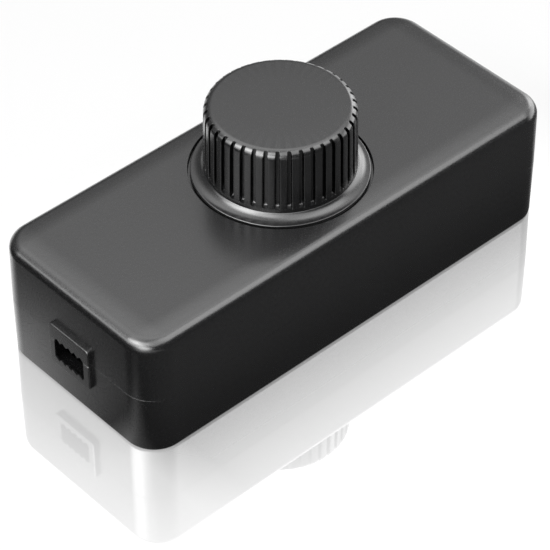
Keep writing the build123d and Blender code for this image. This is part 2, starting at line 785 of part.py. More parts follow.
# Three bent terminals from the tongue down through the board
with BuildPart() as pot_terminals:
    for step in (-1, 0, 1):
        with BuildSketch(Plane.YZ.offset(step * terminal_pitch - terminal_width / 2)):
            with BuildLine():
                Polyline(
                    (-terminal_start, track_plate_bottom),
                    (-terminal_reach, track_plate_bottom),
                    (-terminal_reach, lead_bottom_height),
                    (-terminal_reach + terminal_thickness, lead_bottom_height),
                    (-terminal_reach + terminal_thickness, track_plate_bottom - terminal_thickness),
                    (-terminal_start, track_plate_bottom - terminal_thickness),
                    close=True,
                )
            make_face()
        extrude(amount=terminal_width)
pot_terminals.part.label = "pot_terminals"
export_step(pot_terminals.part, "parts/pot_terminals.step")


# Circuit board with its post, lead and pin holes
with BuildPart() as circuit_board:
    with BuildSketch(Plane.XY.offset(board_bottom_height)):
        RectangleRounded(board_length, board_width, board_corner_radius)
        with Locations(*screwed_posts):
            Circle(board_screw_radius + board_hole_clearance, mode=Mode.SUBTRACT)
        with Locations(*pegged_posts):
            Circle(board_peg_radius + board_hole_clearance, mode=Mode.SUBTRACT)
        with Locations(*wire_leads):
            Rectangle(lead_hole_width, lead_hole_width, mode=Mode.SUBTRACT)
        with Locations(*control_terminal_places):
            Rectangle(
                terminal_width + 2 * lead_hole_clearance,
                terminal_thickness + 2 * lead_hole_clearance,
                mode=Mode.SUBTRACT,
            )
        with Locations(*triac_lead_places):
            Rectangle(
                triac_lead_width + 2 * lead_hole_clearance,
                triac_lead_thickness + 2 * lead_hole_clearance,
                mode=Mode.SUBTRACT,
            )
        with pole_grid:
            Rectangle(cage_pin_hole_width, cage_pin_hole_width, mode=Mode.SUBTRACT)
    extrude(amount=board_thickness)
circuit_board.part.label = "circuit_board"
export_step(circuit_board.part, "parts/circuit_board.step")


# Two board screws
with BuildPart() as board_screws:
    for x, y in screwed_posts:
        with BuildSketch(Plane(origin=(x, y, board_top_height), x_dir=(1, 0, 0), z_dir=(0, -1, 0))):
            with BuildLine():
                Polyline(
                    pan_screw_outline(
                        board_screw_head_radius,
                        board_screw_head_height,
                        board_screw_radius,
                        board_screw_length,
                    ),
                    close=True,
                )
            make_face()
        revolve(axis=Axis((x, y, 0), (0, 0, 1)))
board_screws.part.label = "board_screws"
export_step(board_screws.part, "parts/board_screws.step")


# Heat sink: a bent plate on the board, under the triac and up behind it
with BuildPart() as heat_sink:
    with BuildSketch(Plane.YZ.offset(triac_x - triac_width / 2)):
        with BuildLine():
            Polyline(
                (heat_sink_front_y, board_top_height),
                (heat_sink_back_y, board_top_height),
                (heat_sink_back_y, board_top_height + heat_sink_height),
                (heat_sink_back_y - heat_sink_thickness, board_top_height + heat_sink_height),
                (heat_sink_back_y - heat_sink_thickness, heat_sink_top),
                (heat_sink_front_y, heat_sink_top),
                close=True,
            )
        make_face()
    extrude(amount=triac_width)
    with BuildSketch(Plane.XY.offset(board_top_height)):
        with Locations((triac_x, triac_screw_y)):
            Circle(heat_sink_screw_radius + heat_sink_screw_hole_clearance)
    extrude(amount=heat_sink_thickness, mode=Mode.SUBTRACT)
heat_sink.part.label = "heat_sink"
export_step(heat_sink.part, "parts/heat_sink.step")


# Triac lying on the heat sink: moulded body, metal tab and three bent leads
with BuildPart() as triac:
    with BuildSketch(Plane.XY.offset(heat_sink_top)):
        with Locations((triac_x, triac_y)):
            Rectangle(triac_width, triac_body_length)
    extrude(amount=triac_body_height)
    chamfer(triac.faces().sort_by(Axis.Z)[-1].edges(), length=triac_edge_bevel)
    with BuildSketch(Plane.XY.offset(heat_sink_top)):
        with Locations((triac_x, triac_back_y - triac_tab_length / 2)):
            Rectangle(triac_width, triac_tab_length)
        chamfer(vertices().group_by(Axis.Y)[-1], length=triac_tab_bevel)
        with Locations((triac_x, triac_screw_y)):
            Circle(triac_tab_hole_radius, mode=Mode.SUBTRACT)
    extrude(amount=triac_tab_thickness)
    for lead_x, lead_y in triac_lead_places:
        with BuildSketch(Plane.YZ.offset(lead_x - triac_lead_width / 2)):
            with BuildLine():
                Polyline(
                    (triac_front_y, triac_lead_top),
                    (lead_y - triac_lead_thickness / 2, triac_lead_top),
                    (lead_y - triac_lead_thickness / 2, lead_bottom_height),
                    (lead_y + triac_lead_thickness / 2, lead_bottom_height),
                    (lead_y + triac_lead_thickness / 2, triac_lead_top - triac_lead_thickness),
                    (triac_front_y, triac_lead_top - triac_lead_thickness),
                    close=True,
                )
            make_face()
        extrude(amount=triac_lead_width)
triac.part.label = "triac"
export_step(triac.part, "parts/triac.step")


# Screw that clamps the triac's tab to the heat sink
with BuildPart() as heat_sink_screw:
    with BuildSketch(
        Plane(origin=(triac_x, triac_screw_y, triac_tab_top), x_dir=(1, 0, 0), z_dir=(0, -1, 0))
    ):
        with BuildLine():
            Polyline(
                (0, heat_sink_screw_head_height),
                (heat_sink_screw_head_radius, heat_sink_screw_head_height),
                (heat_sink_screw_head_radius, 0),
                (heat_sink_screw_radius, 0),
                (heat_sink_screw_radius, -heat_sink_screw_length),
                (0, -heat_sink_screw_length),
                close=True,
            )
        make_face()
    revolve(axis=Axis((triac_x, triac_screw_y, 0), (0, 0, 1)))
    with BuildSketch(Plane.XY.offset(triac_tab_top + heat_sink_screw_head_height)):
        with Locations((triac_x, triac_screw_y)):
            Rectangle(2 * heat_sink_screw_head_radius, clamp_screw_slot_width)
    extrude(amount=-clamp_screw_slot_depth, mode=Mode.SUBTRACT)
heat_sink_screw.part.label = "heat_sink_screw"
export_step(heat_sink_screw.part, "parts/heat_sink_screw.step")


# Film capacitor, a potted box on two leads
with BuildPart() as film_capacitor:
    with BuildSketch(Plane.XY.offset(board_top_height)):
        with Locations((film_capacitor_x, film_capacitor_y)):
            Rectangle(film_capacitor_length, film_capacitor_width)
    extrude(amount=film_capacitor_top - board_top_height)
    chamfer(film_capacitor.faces().sort_by(Axis.Z)[-1].edges(), length=component_edge_bevel)
    with BuildSketch(Plane.XY.offset(lead_bottom_height)):
        with Locations(*film_capacitor_leads):
            Rectangle(lead_thickness, lead_thickness)
    extrude(amount=board_top_height - lead_bottom_height)
film_capacitor.part.label = "film_capacitor"
export_step(film_capacitor.part, "parts/film_capacitor.step")


# Ferrite core of the choke, a plain rod
with BuildPart() as choke_core:
    with BuildSketch(Plane.XZ.offset(choke_core_length / 2 - choke_y)):
        with Locations((choke_x, choke_axis_height)):
            Circle(choke_core_radius)
    extrude(amount=-choke_core_length)
    chamfer(choke_core.edges().filter_by(GeomType.CIRCLE), length=component_edge_bevel)
choke_core.part.label = "choke_core"
export_step(choke_core.part, "parts/choke_core.step")


# Winding of the choke, a sleeve of wire with its two ends through the board
with BuildPart() as choke_winding:
    with BuildSketch(Plane.XZ.offset(choke_winding_length / 2 - choke_y)):
        with Locations((choke_x, choke_axis_height)):
            Circle(choke_winding_radius)
            Circle(choke_core_radius + choke_winding_gap, mode=Mode.SUBTRACT)
    extrude(amount=-choke_winding_length)
    with BuildSketch(Plane.XY.offset(lead_bottom_height)):
        with Locations(*choke_leads):
            Rectangle(lead_thickness, lead_thickness)
    extrude(amount=choke_axis_height - (choke_core_radius + choke_winding_radius) / 2 - lead_bottom_height)
choke_winding.part.label = "choke_winding"
export_step(choke_winding.part, "parts/choke_winding.step")


# Diac, a small glass body on one bent lead, in line with the resistors
with BuildPart() as diac:
    with BuildSketch(Plane.YZ.offset(diac_x - diac_length / 2)):
        with Locations((resistor_y, board_top_height + diac_radius)):
            Circle(diac_radius)
    extrude(amount=diac_length)
    with BuildSketch(Plane.XZ.offset(lead_thickness / 2 - resistor_y)):
        with BuildLine():
            Polyline(axial_wire_outline(diac_x, diac_pitch, board_top_height + diac_radius), close=True)
        make_face()
    extrude(amount=-lead_thickness)
diac.part.label = "diac"
export_step(diac.part, "parts/diac.step")


# Two resistors, lying end to end along the front edge of the board
with BuildPart() as resistors:
    for x, y in resistor_places:
        with BuildSketch(Plane.YZ.offset(x - resistor_length / 2)):
            with Locations((y, board_top_height + resistor_radius)):
                Circle(resistor_radius)
        extrude(amount=resistor_length)
        with BuildSketch(Plane.XZ.offset(lead_thickness / 2 - y)):
            with BuildLine():
                Polyline(
                    axial_wire_outline(x, resistor_pitch, board_top_height + resistor_radius), close=True
                )
            make_face()
        extrude(amount=-lead_thickness)
resistors.part.label = "resistors"
export_step(resistors.part, "parts/resistors.step")


# Fuse, a radial can on two leads
with BuildPart() as fuse:
    with BuildSketch(Plane.XY.offset(board_top_height)):
        with Locations((fuse_x, fuse_y)):
            Circle(fuse_radius)
    extrude(amount=fuse_height)
    chamfer(fuse.faces().sort_by(Axis.Z)[-1].edges(), length=component_edge_bevel)
    with BuildSketch(Plane.XY.offset(lead_bottom_height)):
        with Locations(*fuse_leads):
            Rectangle(lead_thickness, lead_thickness)
    extrude(amount=board_top_height - lead_bottom_height)
fuse.part.label = "fuse"
export_step(fuse.part, "parts/fuse.step")


# Timing capacitor, a small potted box on two leads
with BuildPart() as timing_capacitor:
    with BuildSketch(Plane.XY.offset(board_top_height)):
        with Locations((timing_capacitor_x, timing_capacitor_y)):
            Rectangle(timing_capacitor_width, timing_capacitor_length)
    extrude(amount=timing_capacitor_height)
    chamfer(timing_capacitor.faces().sort_by(Axis.Z)[-1].edges(), length=component_edge_bevel)
    with BuildSketch(Plane.XY.offset(lead_bottom_height)):
        with Locations(*timing_capacitor_leads):
            Rectangle(lead_thickness, lead_thickness)
    extrude(amount=board_top_height - lead_bottom_height)
timing_capacitor.part.label = "timing_capacitor"
export_step(timing_capacitor.part, "parts/timing_capacitor.step")


# Terminal blocks, each with two cage chambers open towards the cord and screw wells from above
for block_name, side in (("input_terminal_block", -1), ("output_terminal_block", 1)):
    chamber_length = block_depth - cage_back_wall
    chamber_x = side * (block_x + cage_back_wall / 2)
    with BuildPart() as terminal_block:
        with BuildSketch(Plane.XY.offset(board_top_height)):
            with Locations((side * block_x, 0)):
                Rectangle(block_depth, block_width)
        extrude(amount=block_height)
        block_top = terminal_block.faces().sort_by(Axis.Z)[-1]
        chamfer(block_top.edges().filter_by(Axis.Y), length=block_edge_bevel)
        with BuildSketch(Plane.XY.offset(cage_bottom_height)):
            with Locations((chamber_x, -pole_pitch / 2), (chamber_x, pole_pitch / 2)):
                Rectangle(chamber_length, cage_width + 2 * cage_clearance)
        extrude(amount=cage_height + cage_clearance, mode=Mode.SUBTRACT)
        with BuildSketch(Plane.XY.offset(cage_top_height)):
            with Locations((side * cage_x, -pole_pitch / 2), (side * cage_x, pole_pitch / 2)):
                Circle(clamp_screw_head_radius + clamp_screw_well_clearance)
        extrude(amount=block_top_height - cage_top_height, mode=Mode.SUBTRACT)
        with BuildSketch(Plane.XY.offset(board_top_height)):
            with Locations((side * cage_x, -pole_pitch / 2), (side * cage_x, pole_pitch / 2)):
                Rectangle(cage_pin_hole_width, cage_pin_hole_width)
        extrude(amount=cage_floor_thickness, mode=Mode.SUBTRACT)
    terminal_block.part.label = block_name
    export_step(terminal_block.part, f"parts/{block_name}.step")


# Four terminal cages, each with its wire window, screw hole and solder pin
with BuildPart() as terminal_cages:
    with BuildSketch(Plane.XY.offset(cage_bottom_height)):
        with pole_grid:
            Rectangle(cage_length, cage_width)
    extrude(amount=cage_height)
    with BuildSketch(Plane.XY.offset(cage_bottom_height + cage_wall)):
        with pole_grid:
            Rectangle(cage_length, cage_width - 2 * cage_wall)
    extrude(amount=cage_height - 2 * cage_wall, mode=Mode.SUBTRACT)
    with BuildSketch(Plane.XY.offset(cage_top_height)):
        with pole_grid:
            Circle(clamp_screw_radius + clamp_screw_gap)
    extrude(amount=-cage_wall, mode=Mode.SUBTRACT)
    with BuildSketch(Plane.XY.offset(lead_bottom_height)):
        with pole_grid:
            Rectangle(cage_pin_thickness, cage_pin_thickness)
    extrude(amount=cage_bottom_height - lead_bottom_height)
terminal_cages.part.label = "terminal_cages"
export_step(terminal_cages.part, "parts/terminal_cages.step")


# Four clamp screws, their heads on the cages
with BuildPart() as terminal_screws:
    with BuildSketch(Plane.XY.offset(cage_bottom_height + cage_wall + clamp_screw_tip_gap)):
        with pole_grid:
            Circle(clamp_screw_radius)
    extrude(amount=cage_height - cage_wall - clamp_screw_tip_gap)
    with BuildSketch(Plane.XY.offset(cage_top_height)):
        with pole_grid:
            Circle(clamp_screw_head_radius)
    extrude(amount=clamp_screw_head_height)
    with BuildSketch(Plane.XY.offset(cage_top_height + clamp_screw_head_height)):
        with pole_grid:
            Rectangle(2 * clamp_screw_head_radius, clamp_screw_slot_width)
    extrude(amount=-clamp_screw_slot_depth, mode=Mode.SUBTRACT)
terminal_screws.part.label = "terminal_screws"
export_step(terminal_screws.part, "parts/terminal_screws.step")
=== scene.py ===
"""Rotary cord dimmer: moulded case shells, ribbed knob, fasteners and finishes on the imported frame."""

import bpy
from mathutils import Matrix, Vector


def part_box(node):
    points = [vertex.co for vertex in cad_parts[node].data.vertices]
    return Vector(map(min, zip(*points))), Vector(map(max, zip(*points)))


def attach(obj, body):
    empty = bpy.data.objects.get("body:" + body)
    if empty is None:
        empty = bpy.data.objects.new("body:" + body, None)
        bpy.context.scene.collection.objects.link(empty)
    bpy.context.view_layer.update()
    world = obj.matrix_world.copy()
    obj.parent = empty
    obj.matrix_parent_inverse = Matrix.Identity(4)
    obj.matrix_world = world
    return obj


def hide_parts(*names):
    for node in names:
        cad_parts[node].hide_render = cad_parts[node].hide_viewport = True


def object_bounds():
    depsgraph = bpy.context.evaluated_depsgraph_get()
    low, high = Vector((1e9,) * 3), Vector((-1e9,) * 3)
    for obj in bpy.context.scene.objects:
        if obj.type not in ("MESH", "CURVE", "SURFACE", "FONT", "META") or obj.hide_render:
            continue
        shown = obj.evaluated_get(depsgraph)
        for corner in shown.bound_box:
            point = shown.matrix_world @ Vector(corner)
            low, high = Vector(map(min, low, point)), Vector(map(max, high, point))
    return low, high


bl_info = {
    "name": "Rotary cord dimmer",
    "version": (1, 0, 0),
    "blender": (4, 5, 0),
    "location": "View3D > Sidebar > Dimmer",
    "description": "Builds the moulded case, ribbed knob, fasteners and finishes of a rotary cord dimmer",
    "category": "Object",
}

from math import cos, copysign, degrees, pi, radians, sin, sqrt, tan

import bmesh
import bpy
from bpy.props import FloatProperty, FloatVectorProperty, IntProperty, PointerProperty
from mathutils import Matrix, Vector

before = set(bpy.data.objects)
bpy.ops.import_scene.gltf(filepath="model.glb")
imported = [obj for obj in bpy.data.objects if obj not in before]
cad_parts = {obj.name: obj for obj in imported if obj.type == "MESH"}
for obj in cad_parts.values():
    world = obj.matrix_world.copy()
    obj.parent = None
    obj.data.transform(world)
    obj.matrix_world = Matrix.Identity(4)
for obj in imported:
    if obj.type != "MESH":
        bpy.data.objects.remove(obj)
CAD_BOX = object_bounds()
MM = 0.001
CASE_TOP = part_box("upper_shell")[1][2]
END_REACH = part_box("upper_shell")[1][0]
KNOB_LOW, KNOB_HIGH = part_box("knob")
SCREW_FOOT, SCREW_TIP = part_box("case_screws")[0][2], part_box("case_screws")[1][2]
SCREW_SEAT = SCREW_FOOT + 1.5 * MM
CORNER_STEPS = 16
THREAD_BITE = 0.05 * MM
SHARP_ANGLE = radians(32)


def length(name, description, default):
    """A length property in metres."""
    return FloatProperty(
        name=name, description=description, default=default, min=0.0, subtype="DISTANCE", unit="LENGTH"
    )


def slant(name, description, default):
    """An angle property in radians."""
    return FloatProperty(name=name, description=description, default=default, subtype="ANGLE")


def plain_number(name, description, default):
    """A plain number without a unit."""
    return FloatProperty(name=name, description=description, default=default, min=0.0)


def colour(name, description, default):
    """A linear colour property."""
    return FloatVectorProperty(
        name=name, description=description, default=default, size=3, min=0.0, max=1.0, subtype="COLOR"
    )


class DimmerCaseSizes(bpy.types.PropertyGroup):
    """Sizes of the two case shells."""

    length: length("Length", "Case along X, without the end plates", 86.3 * MM)
    width: length("Width", "Case along Y at the seam", 36.0 * MM)
    seam_height: length("Seam height", "Level where the two shells meet", 10.8 * MM)
    corner_radius: length("Corner radius", "Upright corners of the case", 5.3 * MM)
    top_edge_radius: length("Top edge radius", "Rounding of the upper edge", 1.95 * MM)
    crown_rise: length("Crown rise", "Fall of the top towards its rounded edge", 0.17 * MM)
    crown_width: length("Crown width", "Width of the falling border of the top", 3.1 * MM)
    bottom_edge_radius: length("Bottom edge radius", "Rounding of the lower edge", 0.45 * MM)
    draft: slant("Draft", "Moulding draft of the walls", radians(0.4))
    wall: length("Wall", "Side wall thickness", 2.0 * MM)
    top_wall: length("Top wall", "Thickness of the top", 2.2 * MM)
    floor: length("Floor", "Thickness of the bottom", 2.0 * MM)
    seam_bevel: length("Seam bevel", "Bevel of the upper shell and the plates at the seam", 0.06 * MM)
    rim_bevel: length("Rim bevel", "Bevel of the lower shell at the seam", 0.015 * MM)
    plate_width: length("Plate width", "Raised plate round each cord slot", 9.5 * MM)
    plate_rise: length("Plate rise", "Plate above the seam", 3.1 * MM)
    plate_drop: length("Plate drop", "Plate below the seam", 5.0 * MM)
    plate_corner: length("Plate corner radius", "Outer corners of the plate", 0.7 * MM)
    plate_edge: length("Plate edge radius", "Rounded rim of the plate", 0.2 * MM)
    tooth_pitch: length("Tooth pitch", "Distance between the slot's teeth", 1.38 * MM)
    tooth_depth: length("Tooth depth", "Height of the slot's teeth", 0.62 * MM)
    tooth_count: IntProperty(name="Teeth", description="Teeth on each side of the slot", default=5, min=1)
    upper_lean: plain_number("Upper lean", "Place of the tooth gaps' tips above", 0.45)
    lower_lean: plain_number("Lower lean", "Place of the tooth gaps' tips below", 0.71)
    slot_rise: length("Slot rise", "Slot above the seam, to the teeth", 0.14 * MM)
    slot_drop: length("Slot drop", "Slot below the seam, to the teeth", 3.25 * MM)
    recess_radius: length("Recess radius", "Round recess for the knob's skirt", 14.7 * MM)
    recess_depth: length("Recess depth", "Depth of the recess", 0.8 * MM)
    panel_thickness: length("Panel thickness", "Wall under the recess", 2.0 * MM)
    web: length("Web", "Thickness of the posts' webs", 1.0 * MM)
    upper_cord_rib: length("Upper cord rib", "Cord rib of the upper shell from the middle", 36.0 * MM)
    lower_cord_rib: length("Lower cord rib", "Cord rib of the lower shell from the middle", 33.0 * MM)


class DimmerKnobSizes(bpy.types.PropertyGroup):
    """Sizes of the ribbed knob."""

    radius: length("Radius", "Ribs at the top of the knob", 12.0 * MM)
    base_radius: length("Base radius", "Ribs at the foot of the knob", 12.2 * MM)
    top_edge_radius: length("Top edge radius", "Rounding of the upper edge", 1.4 * MM)
    skirt_top: length("Skirt top", "Level of the skirt's upper face", 22.65 * MM)
    rim_radius: length("Rim radius", "Rounding of the skirt's rim", 0.14 * MM)
    flare_radius: length("Flare radius", "Hollow of the skirt's upper face", 2.2 * MM)
    flare_angle: slant("Flare angle", "Slope of the hollow at the ribs", radians(50))
    ledge: length("Ledge", "Small step between ribs and skirt", 0.09 * MM)
    groove_foot: length("Groove foot", "Level where the grooves begin", 24.3 * MM)
    groove_depth: length("Groove depth", "Depth of the grooves", 0.8 * MM)
    groove_end_radius: length("Groove end radius", "Rounding of the grooves' lower ends", 0.3 * MM)
    rib_count: IntProperty(name="Ribs", description="Ribs round the knob", default=40, min=3)
    wall: length("Wall", "Thickness of the knob's wall", 2.0 * MM)
    roof: length("Roof", "Thickness of the knob's top", 2.0 * MM)
    hub_radius: length("Hub radius", "Hub on the shaft", 5.0 * MM)
    hub_foot: length("Hub foot", "Level of the hub's lower end", 26.2 * MM)
    bore_radius: length("Bore radius", "Bore for the shaft", 3.03 * MM)
    flat_offset: length("Flat offset", "Flat of the bore from the axis", 1.53 * MM)


class DimmerFastenerSizes(bpy.types.PropertyGroup):
    """Sizes of the screws, the nut, the washer, the bushing and the winding."""

    head_radius: length("Head radius", "Pan head of a case screw", 2.25 * MM)
    core_radius: length("Core radius", "Core of a case screw's thread", 0.82 * MM)
    crest_radius: length("Crest radius", "Crest of a case screw's thread", 1.14 * MM)
    screw_pitch: length("Screw pitch", "Pitch of a case screw", 1.25 * MM)
    fine_pitch: length("Fine pitch", "Pitch of the nut and the bushing", 0.75 * MM)
    bushing_radius: length("Bushing radius", "Crest of the bushing's thread", 3.44 * MM)
    bushing_bore: length("Bushing bore", "Bore for the shaft", 3.05 * MM)
    washer_bore: length("Washer bore", "Inner radius of the washer", 3.7 * MM)
    wire_radius: length("Wire radius", "Enamelled wire of the choke", 0.3 * MM)
    wire_turns: IntProperty(name="Turns", description="Turns of the choke", default=16, min=1)
    resistor_centre: length("Resistor centre", "Middle of each resistor's body from the case's", 6.2 * MM)
    resistor_half: length("Resistor half length", "Half of a resistor's body", 3.1 * MM)
    diac_half: length("Diac half length", "Half of the diac's body", 2.0 * MM)


class DimmerFinishes(bpy.types.PropertyGroup):
    """Colours of the finishes."""

    case_plastic: colour("Moulded plastic", "Moulded case shells", (0.0095, 0.0095, 0.0098))
    knob_plastic: colour("Knob plastic", "Moulded knob", (0.0095, 0.0095, 0.0098))
    zinc: colour("Zinc plating", "Screws, can and bushing", (0.62, 0.61, 0.58))
    nickel: colour("Nickel plating", "Nut, washer and shaft", (0.66, 0.64, 0.60))
    spring_steel: colour("Spring steel", "Clip of the shaft", (0.34, 0.34, 0.35))
    bronze: colour("Wiper bronze", "Wiper spring", (0.60, 0.38, 0.20))
    tin: colour("Tinned brass", "Terminals, cages and leads", (0.62, 0.60, 0.56))
    laminate: colour("Board laminate", "Circuit board", (0.30, 0.20, 0.08))
    track_laminate: colour("Track laminate", "Track plate", (0.24, 0.13, 0.06))
    dark_moulding: colour("Dark moulding", "Triac, fuse and rotor bodies", (0.02, 0.02, 0.022))
    block_plastic: colour("Block plastic", "Terminal blocks", (0.30, 0.31, 0.31))
    film_box: colour("Film capacitor box", "Film capacitor", (0.42, 0.07, 0.03))
    timing_box: colour("Timing capacitor box", "Timing capacitor", (0.04, 0.12, 0.30))
    copper: colour("Enamelled copper", "Choke winding", (0.42, 0.13, 0.04))
    ferrite: colour("Ferrite", "Choke core", (0.03, 0.03, 0.032))
    aluminium: colour("Aluminium", "Heat sink", (0.72, 0.73, 0.74))
    resistor_coat: colour("Resistor coat", "Resistor bodies", (0.45, 0.30, 0.16))
    diac_glass: colour("Diac glass", "Diac body", (0.35, 0.10, 0.05))


class DimmerStage(bpy.types.PropertyGroup):
    """Camera and light of the stage."""

    azimuth: slant("Azimuth", "Camera direction round Z", radians(-42.578))
    elevation: slant("Elevation", "Camera above the floor", radians(42.771))
    distance: length("Distance", "Camera from its target", 443.24 * MM)
    lens: FloatProperty(
        name="Lens", description="Focal length for a 36 mm sensor", default=177.84, unit="CAMERA"
    )
    floor_radius: length("Floor radius", "Half width of the floor", 1.6)
    floor_tone: plain_number("Floor tone", "Matt part of the floor", 0.3)
    floor_glow: plain_number("Floor glow", "Plain white of the floor", 0.55)


# Shapes

def block(bm, low, high):
    """Adds a plain block between two corners and returns its vertices."""
    verts = bmesh.ops.create_cube(bm, size=1.0)["verts"]
    low, high = Vector(low), Vector(high)
    bmesh.ops.scale(bm, vec=high - low, verts=verts)
    bmesh.ops.translate(bm, vec=(low + high) / 2, verts=verts)
    return verts


def solid_block(low, high):
    """A plain block as a solid of its own."""
    bm = bmesh.new()
    block(bm, low, high)
    return bm


def round_edges(bm, edges, radius, segments):
    """Rounds the given edges."""
    bmesh.ops.bevel(
        bm, geom=list(edges), offset=radius, offset_type="OFFSET", affect="EDGES", segments=segments,
        profile=0.5, material=-1, clamp_overlap=False,
    )


def at_level(edge, level, axis=2):
    """Whether both ends of an edge lie at a level of one axis."""
    return all(abs(vert.co[axis] - level) < 1e-7 for vert in edge.verts)


def edges_at(bm, level):
    """Edges that lie at a height."""
    return [edge for edge in bm.edges if at_level(edge, level)]


def drafted_block(size_x, size_y, radius, wide, narrow, draft):
    """Block with round upright corners, which narrows by its draft from one level to the other."""
    bm = bmesh.new()
    block(bm, (-size_x / 2, -size_y / 2, min(wide, narrow)), (size_x / 2, size_y / 2, max(wide, narrow)))
    shrink = abs(narrow - wide) * tan(draft)
    for vert in bm.verts:
        if abs(vert.co.z - narrow) < 1e-7:
            vert.co.x -= copysign(shrink, vert.co.x)
            vert.co.y -= copysign(shrink, vert.co.y)
    uprights = [edge for edge in bm.edges if abs(edge.verts[0].co.z - edge.verts[1].co.z) > 1e-6]
    round_edges(bm, uprights, radius, CORNER_STEPS)
    return bm


def crowned(bm, width, rise, steps=6):
    """Raises the middle of the topmost face above its border by a smooth slope."""
    bm.faces.ensure_lookup_table()
    top = max(bm.faces, key=lambda face: face.calc_center_median().z)
    for step in range(1, steps + 1):
        before, after = 1 - (step - 1) / steps, 1 - step / steps
        bmesh.ops.inset_region(
            bm, faces=[top], thickness=width / steps, depth=rise * (before ** 2 - after ** 2),
            use_boundary=True, use_even_offset=True,
        )


def cylinder(radius, low, high, x=0.0, y=0.0, steps=48):
    """Upright cylinder."""
    bm = bmesh.new()
    made = bmesh.ops.create_cone(
        bm, cap_ends=True, cap_tris=False, segments=steps, radius1=radius, radius2=radius, depth=high - low
    )
    bmesh.ops.translate(bm, vec=(x, y, (low + high) / 2), verts=made["verts"])
    return bm


def prism(outline, offset):
    """Solid swept in a straight line from a flat outline of points."""
    bm = bmesh.new()
    face = bm.faces.new([bm.verts.new(point) for point in outline])
    made = bmesh.ops.extrude_face_region(bm, geom=[face])
    moved = [item for item in made["geom"] if isinstance(item, bmesh.types.BMVert)]
    bmesh.ops.translate(bm, vec=offset, verts=moved)
    bmesh.ops.recalc_face_normals(bm, faces=bm.faces)
    return bm


def turned(profile, steps):
    """Solid turned round Z from its half section, a list of (radius, height) points."""
    bm = bmesh.new()
    verts = [bm.verts.new((radius, 0.0, height)) for radius, height in profile]
    edges = [bm.edges.new(pair) for pair in zip(verts, verts[1:])]
    bmesh.ops.spin(
        bm, geom=verts + edges, cent=(0, 0, 0), axis=(0, 0, 1), dvec=(0, 0, 0), angle=2 * pi, steps=steps,
        use_merge=True, use_normal_flip=False, use_duplicate=False,
    )
    bmesh.ops.remove_doubles(bm, verts=bm.verts, dist=1e-7)
    bmesh.ops.recalc_face_normals(bm, faces=bm.faces)
    return bm


def arc(centre, radius, start, end, steps):
    """Points of an arc in a half section, its angles in degrees."""
    angles = [radians(start + (end - start) * step / steps) for step in range(steps + 1)]
    return [(centre[0] + radius * cos(angle), centre[1] + radius * sin(angle)) for angle in angles]


def helix_ridge(radius, height, pitch, turns, width, steps=24):
    """Ridge of a screw thread round Z that starts at level 0 and runs out at both ends."""
    bm = bmesh.new()
    root = radius - THREAD_BITE
    section = ((root, 0, -width / 2), (radius + height, 0, 0), (root, 0, width / 2))
    verts = [bm.verts.new(point) for point in section]
    edges = [bm.edges.new((verts[i], verts[(i + 1) % 3])) for i in range(3)]
    count = round(steps * turns)
    bmesh.ops.spin(
        bm, geom=verts + edges, cent=(0, 0, 0), axis=(0, 0, 1), dvec=(0, 0, pitch / steps),
        angle=2 * pi * turns, steps=count, use_merge=False, use_normal_flip=False, use_duplicate=False,
    )
    rings = [edge for edge in bm.edges if edge.is_boundary]
    bmesh.ops.holes_fill(bm, edges=rings, sides=3)
    bmesh.ops.recalc_face_normals(bm, faces=bm.faces)
    return bm


def combine(base, others, operation):
    """Joins solids to a base solid, cuts them from it or keeps what they share; all of them are used up."""
    operands = bpy.data.collections.new("Operands")
    made = []
    for solid in others:
        mesh = bpy.data.meshes.new("Operand")
        solid.to_mesh(mesh)
        solid.free()
        operand = bpy.data.objects.new("Operand", mesh)
        operands.objects.link(operand)
        made.append(operand)
    mesh = bpy.data.meshes.new("Base")
    base.to_mesh(mesh)
    base.free()
    body = bpy.data.objects.new("Base", mesh)
    bpy.context.scene.collection.objects.link(body)
    modifier = body.modifiers.new("Combine", "BOOLEAN")
    modifier.operation = operation
    modifier.solver = "EXACT"
    modifier.operand_type = "COLLECTION"
    modifier.collection = operands
    result = bmesh.new()
    result.from_object(body, bpy.context.evaluated_depsgraph_get())
    for item in [*made, body]:
        mesh = item.data
        bpy.data.objects.remove(item)
        bpy.data.meshes.remove(mesh)
    bpy.data.collections.remove(operands)
    bmesh.ops.remove_doubles(result, verts=result.verts, dist=1e-7)
    return result


def place(bm, matrix):
    """Moves a whole solid."""
    bmesh.ops.transform(bm, matrix=matrix, verts=bm.verts)
    return bm


def gather(solids):
    """Puts separate solids into one mesh; all of them are used up."""
    result = bmesh.new()
    for solid in solids:
        mesh = bpy.data.meshes.new("Gathered")
        solid.to_mesh(mesh)
        solid.free()
        result.from_mesh(mesh)
        bpy.data.meshes.remove(mesh)
    return result


def finished_piece(name, bm, material, body, sharp=SHARP_ANGLE):
    """Makes an object of a finished solid, smooth with sharp edges, and ties it to its body."""
    for face in bm.faces:
        face.smooth = True
    for edge in bm.edges:
        edge.smooth = len(edge.link_faces) == 2 and edge.calc_face_angle(0.0) < sharp
    mesh = bpy.data.meshes.new(name)
    bm.to_mesh(mesh)
    bm.free()
    mesh.materials.append(material)
    piece = bpy.data.objects.new(name, mesh)
    bpy.context.scene.collection.objects.link(piece)
    modifier = piece.modifiers.new("Even shading", "WEIGHTED_NORMAL")
    modifier.keep_sharp = True
    modifier.weight = 60
    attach(piece, body)
    return piece


# Finishes

